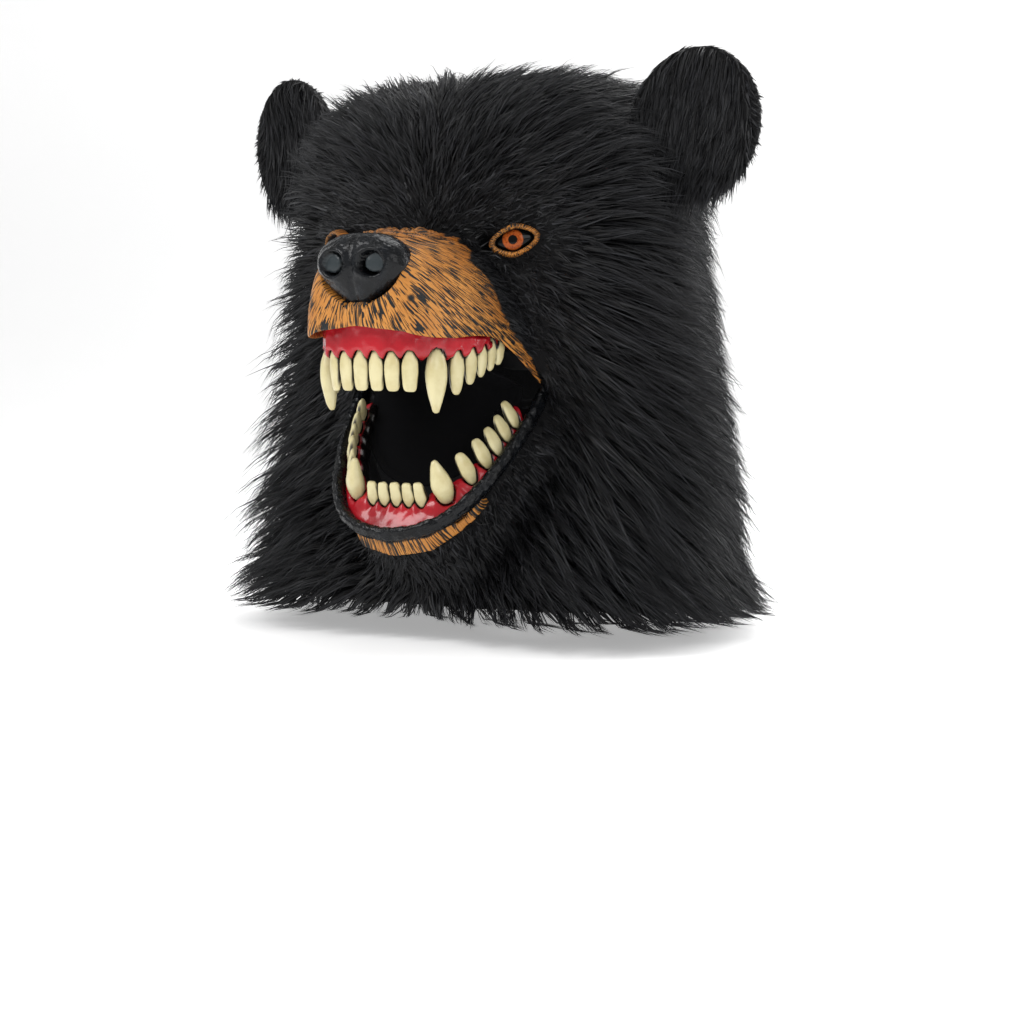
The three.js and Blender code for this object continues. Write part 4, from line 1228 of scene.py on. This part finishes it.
@dataclass
class Jaws:
    """Teeth, gums, the lower lip, the chin and the dark lining."""

    frame: dict
    root: float = 0.005
    papilla: float = 0.0036
    low_papilla: float = 0.0022
    corner_y: float = -0.062
    corner_z: float = -0.212
    gape: float = math.radians(48)
    inside_mouth: Array = field(default_factory=lambda: np.array([0.0, -0.09, -0.24]))
    rng: np.random.Generator = field(default_factory=lambda: np.random.default_rng(SEED + 7))

    def seat(self, name: str) -> Seat:
        """Reads a tooth's place from its solid."""
        points = points_of(self.frame["nodes"][name])
        middle = points.mean(0)
        _, _, axes = np.linalg.svd(points - middle)
        crown, across, outward = axes
        crown = crown * (np.sign(crown[2]) if name.startswith("lower") else -np.sign(crown[2]))
        outward = outward * np.sign(outward @ (middle - np.array([0, -0.07, middle[2]])))
        across = np.cross(crown, outward)
        frame = np.stack([across, crown, outward])
        local = (points - middle) @ frame.T
        low, high = local.min(0), local.max(0)
        return Seat(middle + (low + high) / 2 @ frame, (high - low) / 2, frame)

    def tooth(self, name: str, seat: Seat) -> bpy.types.Object:
        """One tooth, rounded and a little uneven, in the place of its solid."""
        form = TOOTH_FORMS["canine" if "canine" in name else "incisor" if "incisor" in name else "tooth"]
        sphere = {"segments": 32, "ring_count": 26, "radius": 1}
        piece = added(f"{name}_ivory", bpy.ops.mesh.primitive_uv_sphere_add, **sphere)
        x, y, z = points_of(piece).T
        ring = np.maximum(np.hypot(x, y), 1e-6)
        width, depth = form.outline(z)
        across = signed_power(x / ring, 0.8) * width * self.rng.uniform(0.95, 1.02)
        outward = signed_power(y / ring, 0.85) * depth * 1.06
        sway = self.rng.normal(0, 0.035) * z + self.rng.normal(0, 0.04) * z**2
        bow = form.curl * (1 - z**2) * 2
        local = np.stack([across + sway, z * self.rng.uniform(0.97, 1.02), outward + bow], axis=1) * seat.half
        set_points(piece, local @ seat.axes + seat.middle)
        face_outwards(piece)
        roughen(piece, 0.005, 0.00022)
        return piece

    def scallop(self, gum: bpy.types.Object, seats: list[Seat], papilla: float, passes: int) -> None:
        """Draws the gum out between the teeth, so that its edge arches round each of them."""
        points = points_of(gum)
        middles = np.array([seat.middle for seat in seats])
        owner = np.linalg.norm(points[:, None] - middles[None], axis=2).argmin(1)
        for index, seat in enumerate(seats):
            mine = owner == index
            across, along, _ = seat.local(points[mine]).T
            beyond = along + seat.half[1] - self.root
            edge = smooth(beyond, -0.0075, -0.0005)
            share = smooth(np.abs(across) / seat.half[0], 0.30, 1.02)
            move = (papilla * share - 0.0012 * (1 - share)) * edge
            points[mine] += move[:, None] * seat.axes[1]
        set_points(gum, points)
        apply_modifier(gum, "SMOOTH", factor=0.5, iterations=passes)

    def build(self) -> None:
        """Builds all that is in the mouth."""
        kinds = ("incisor", "canine", "tooth")
        names = sorted(name for name in self.frame["nodes"] if any(kind in name for kind in kinds))
        seats = {name: self.seat(name) for name in names}
        teeth = {name: self.tooth(name, seats[name]) for name in names}
        gums = {}
        for jaw, papilla, passes in (("upper", self.papilla, 3), ("lower", self.low_papilla, 9)):
            gum = self.round_solid(f"{jaw}_gum", f"glossy_{jaw}_gum", 0.00105, 5, 0.0005, 0.010)
            self.scallop(gum, [seat for name, seat in seats.items() if name.startswith(jaw)], papilla, passes)
            gums[f"{jaw}_gum"] = gum
        ivory = {"base": (0.66, 0.59, 0.33), "low": (0.55, 0.47, 0.23), "roughness": 0.24}
        ivory_look = GlossFinish("tooth_finish", **ivory, coat=0.3, relief=0.08).make()
        tree_gums = tree_of(*gums.values())
        for name, tooth in teeth.items():
            points = points_of(tooth)
            margin = 1 - smooth(distances(tree_gums, points, 0.01), 0.0006, 0.0015)
            across, along, outward = (seats[name].local(points) / seats[name].half).T
            edge = smooth(np.abs(across) / np.maximum(np.hypot(across, outward), 1e-6), 0.88, 0.97)
            edge = edge * (1 - smooth(along, 0.45, 0.9)) * ("canine" not in name)
            keep_numbers(tooth, margin=np.maximum(margin, edge * 0.95))
            smooth_shading(tooth, 80)
            finish(tooth, ivory_look, "tooth", name)
        tree_teeth = tree_of(*teeth.values())
        red = {"base": (0.44, 0.011, 0.020), "low": (0.30, 0.007, 0.013), "roughness": 0.12}
        red_look = GlossFinish("gum_finish", **red, coat=0.3, shine=0.3, grain=260).make()
        for name, gum in gums.items():
            margin = 1 - smooth(distances(tree_teeth, points_of(gum), 0.01), 0.0010, 0.0022)
            keep_numbers(gum, margin=np.maximum(margin, self.inner_side(gum)))
            smooth_shading(gum, 80)
            finish(gum, red_look, "gum", name)
        self.lip()
        self.chin()
        self.lining()

    def inner_side(self, gum: bpy.types.Object) -> Array:
        """1 on the sides of a gum that face the mouth's inside, which are coloured black."""
        points, normals = points_of(gum), normals_of(gum)
        inwards = (self.inside_mouth - points) * np.array([1, 1, 0])
        inner = smooth((normals * unit(inwards)).sum(1), 0.15, 0.5)
        if gum.name.endswith("upper_gum"):
            return inner
        jaw_up = np.array([0, -math.sin(self.gape), math.cos(self.gape)])
        rise = (points - np.array([0, self.corner_y, self.corner_z])) @ jaw_up
        return np.maximum(inner, 1 - smooth(rise, -0.0065, -0.0045))

    def round_solid(
        self, node: str, name: str, voxel: float, passes: int, rise: float, size: float
    ) -> bpy.types.Object:
        """A solid of the frame with its facets rounded off.

        Args:
            node: the solid.
            name: the piece's name.
            voxel: the grain of the new mesh.
            passes: how often it is smoothed.
            rise: how far soft swellings rise.
            size: the size of a swelling.

        Returns:
            The piece.
        """
        piece = copy_node(self.frame, node, name)
        apply_modifier(piece, "REMESH", mode="VOXEL", voxel_size=voxel, use_smooth_shade=True)
        apply_modifier(piece, "SMOOTH", factor=0.7, iterations=passes)
        roughen(piece, size, rise, 0.0002)
        return piece

    def lip(self) -> None:
        """The wrinkled band of the lower lip."""
        piece = copy_node(self.frame, "lower_lip", "wrinkled_lip")
        apply_modifier(piece, "SUBSURF", levels=4, render_levels=4)
        roughen(piece, 0.005, 0.0009, 0.0006)
        keep_numbers(piece, margin=np.zeros(len(piece.data.vertices)))
        smooth_shading(piece, 80)
        black, grey = (0.0022, 0.0025, 0.003), (0.006, 0.007, 0.009)
        gloss = {"roughness": 0.16, "coat": 0.12, "shine": 0.17, "grain": 420, "relief": 1.0}
        finish(piece, GlossFinish("lip_finish", black, grey, **gloss).make(), "lip", "lower_lip")

    def chin(self) -> None:
        """The painted patch under the lip."""
        piece = self.round_solid("chin", "painted_chin", 0.0009, 4, 0.0002, 0.01)
        self.number(piece, np.array([0.0, -0.10, -0.22]))
        smooth_shading(piece, 80)
        finish(piece, TanFinish(name="chin_finish").make(), "tan_rubber", "chin")

    def number(self, piece: bpy.types.Object, source: Array) -> None:
        """Keeps the paint's numbers on the chin, whose strokes run down and back."""
        points = points_of(piece)
        around, away, side = hair_numbers(points, source, 0.0, 0.03)
        lip = distances(tree_of(self.frame["nodes"]["lower_lip"]), points, 0.01)
        keep_numbers(piece, around=around * 1.3, away=away, side=side, shade=0.2 * around)
        keep_numbers(piece, margin=1 - smooth(lip, 0.0006, 0.0016))

    def lining(self) -> None:
        """The black lining behind the teeth."""
        piece = copy_node(self.frame, "mouth_lining", "cloth_lining")
        apply_modifier(piece, "SUBSURF", subdivision_type="SIMPLE", levels=2, render_levels=2)
        apply_modifier(piece, "SMOOTH", factor=0.5, iterations=6)
        smooth_shading(piece, 60)
        finish(piece, ClothFinish().make(), "lining", "mouth_lining")


@dataclass
class Eyes:
    """The glossy eyes in their almond rims."""

    place: tuple = (0.076, -0.104, -0.107)
    yaw: float = math.radians(30)
    width: float = 0.028
    height: float = 0.016
    rim_width: float = 0.0365
    rim_height: float = 0.0245
    depth: float = 0.006

    def seat(self, side: Side) -> Matrix:
        """The eye's own frame: X towards its outer corner, Y up, Z out of the face."""
        move = Matrix.Translation((side.value * self.place[0], self.place[1], self.place[2]))
        turn = Matrix.Rotation(side.value * self.yaw, 4, "Z")
        return move @ turn @ Matrix.Rotation(math.pi / 2, 4, "X")

    def settle(self, piece: bpy.types.Object, side: Side, x: Array, y: Array, z: Array) -> None:
        """Moves a piece's points from the eye's frame to the face."""
        seat = np.array(self.seat(side))
        set_points(piece, np.stack([x, y, z], axis=1) @ seat[:3, :3].T + seat[:3, 3])
        face_outwards(piece)

    def almond(self, angle: Array, width: Array, height: Array, side: Side) -> tuple[Array, Array]:
        """Points of an almond outline, its outer corner raised."""
        across = np.cos(angle)
        pointed = 1 - 0.25 * np.abs(across)
        return side.value * width * across / 2, height / 2 * np.sin(angle) * pointed + 0.08 * width * across

    def build(self) -> None:
        """Builds both eyes and their rims."""
        look, paint = EyeFinish().make(), TanFinish(name="eyelid_finish").make()
        for side in Side:
            self.rim(side, paint)
            self.ball(side, look)

    def rim(self, side: Side, paint: bpy.types.Material) -> None:
        """One almond rim."""
        ring = {"major_segments": 120, "minor_segments": 24, "major_radius": 1, "minor_radius": 0.25}
        piece = added(f"{side.word}_eye_rim", bpy.ops.mesh.primitive_torus_add, **ring)
        points = points_of(piece)
        angle = np.arctan2(points[:, 1], points[:, 0])
        radial = (np.hypot(points[:, 0], points[:, 1]) - 1) / 0.25
        out = points[:, 2] / 0.25
        share = 0.5 + 0.5 * radial
        width = mix(self.width * 0.98, self.rim_width, share)
        height = mix(self.height, self.rim_height, share)
        x, y = self.almond(angle, width, height, side)
        z = self.depth * np.where(out > 0, 0.75 * out, 0.9 * out) - 0.0012 * share
        self.settle(piece, side, x, y, z)
        shade, margin = 0.15 + 0.5 * smooth(share, 0.55, 1.0), 1 - smooth(share, 0.05, 0.16)
        keep_numbers(piece, around=angle * 0.9, away=0.02 + share * 0.012, shade=shade, margin=margin)
        keep_numbers(piece, side=np.full(len(points), float(side.value)))
        smooth_shading(piece, 80)
        finish(piece, paint, "tan_rubber", f"eyelid_{side.word}")

    def ball(self, side: Side, look: bpy.types.Material) -> None:
        """One glossy eye, domed between the lids."""
        sphere = {"segments": 64, "ring_count": 32, "radius": 1}
        piece = added(f"{side.word}_glossy_eye", bpy.ops.mesh.primitive_uv_sphere_add, **sphere)
        points = points_of(piece)
        angle = np.arctan2(points[:, 1], points[:, 0])
        radial = np.hypot(points[:, 0], points[:, 1])
        x, y = self.almond(angle, self.width * radial, self.height * radial, side)
        z = self.depth * (np.where(points[:, 2] > 0, 0.62, 0.7) * points[:, 2] - 0.25)
        gaze = np.hypot(x + side.value * 0.0012, y - 0.0004)
        self.settle(piece, side, x, y, z)
        keep_numbers(piece, ring=gaze)
        smooth_shading(piece, 80)
        finish(piece, look, "eye", f"eye_{side.word}")


# The lights' names, places in metres, sides in metres and powers in watts
LIGHTS = (
    ("key_light", (-0.9, -1.5, 1.1), 1.0, 24),
    ("fill_light", (1.6, -1.2, 0.5), 1.0, 9),
    ("top_light", (0.1, 0.5, 1.5), 1.3, 20),
    ("rim_light", (1.2, 1.0, 0.4), 0.9, 14),
)


@dataclass
class Studio:
    """A plain pale sweep, soft lights and the camera at the photograph's angle."""

    floor: float = -0.40
    target: tuple = (0.0732, -0.1027, -0.301)
    camera: tuple = (0.7705, -1.3105, -0.179)
    view_angle: float = math.radians(29.52)
    lit: tuple = (0, -0.05, -0.2)
    daylight: float = 0.42

    def build(self) -> None:
        """Builds the sweep, the lights and the camera."""
        self.sweep()
        for light in LIGHTS:
            self.light(*light)
        world = bpy.data.worlds.new("studio_world")
        world.use_nodes = True
        sky = world.node_tree.nodes["Background"].inputs
        sky["Color"].default_value = (1, 1, 1, 1)
        sky["Strength"].default_value = self.daylight
        bpy.context.scene.world = world
        bpy.context.scene.view_settings.view_transform = "Standard"
        deselect()
        aim = Vector(self.target) - Vector(self.camera)
        bpy.ops.object.camera_add(location=self.camera, rotation=aim.to_track_quat("-Z", "Y").to_euler())
        camera = bpy.context.object
        camera.data.sensor_width = 36
        camera.data.lens = 18 / math.tan(self.view_angle / 2)
        bpy.context.scene.camera = camera

    def sweep(self) -> None:
        """The floor, curved up into a backdrop."""
        grid = {"x_subdivisions": 2, "y_subdivisions": 60, "size": 1}
        piece = added("studio_sweep", bpy.ops.mesh.primitive_grid_add, **grid)
        points = points_of(piece)
        run = (points[:, 1] + 0.5) * 9
        bend, radius = 4.2, 1.0
        arc = np.clip((run - bend) / radius, 0, math.pi / 2)
        forward = np.minimum(run, bend) + radius * np.sin(arc)
        rise = radius * (1 - np.cos(arc)) + np.maximum(run - bend - radius * math.pi / 2, 0)
        set_points(piece, np.stack([points[:, 0] * 12, forward - 2.6, self.floor + rise], axis=1))
        smooth_shading(piece, 80)
        piece.data.materials.append(StudioFinish().make())

    def light(self, name: str, place: tuple, size: float, power: float) -> None:
        """A soft square light aimed at the mask, its size in metres and its power in watts."""
        aim = Vector(self.lit) - Vector(place)
        turn = aim.to_track_quat("-Z", "Y").to_euler()
        lamp = added(name, bpy.ops.object.light_add, type="AREA", location=place, rotation=turn)
        lamp.data.size = size
        lamp.data.energy = power


def main() -> None:
    """Builds the mask in its frame."""
    logging.basicConfig(level=logging.INFO, format="%(message)s")
    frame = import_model()
    Studio().build()
    coat = Coat()
    for name, assembly in {
        "muzzle": Muzzle(coat),
        "nose": Nose(),
        "jaws": Jaws(frame),
        "eyes": Eyes(),
        "head": Head(frame, coat),
        "ears": Ears(frame, coat),
    }.items():
        assembly.build()
        LOG.info("built the %s", name)


if __name__ == "__main__":
    main()
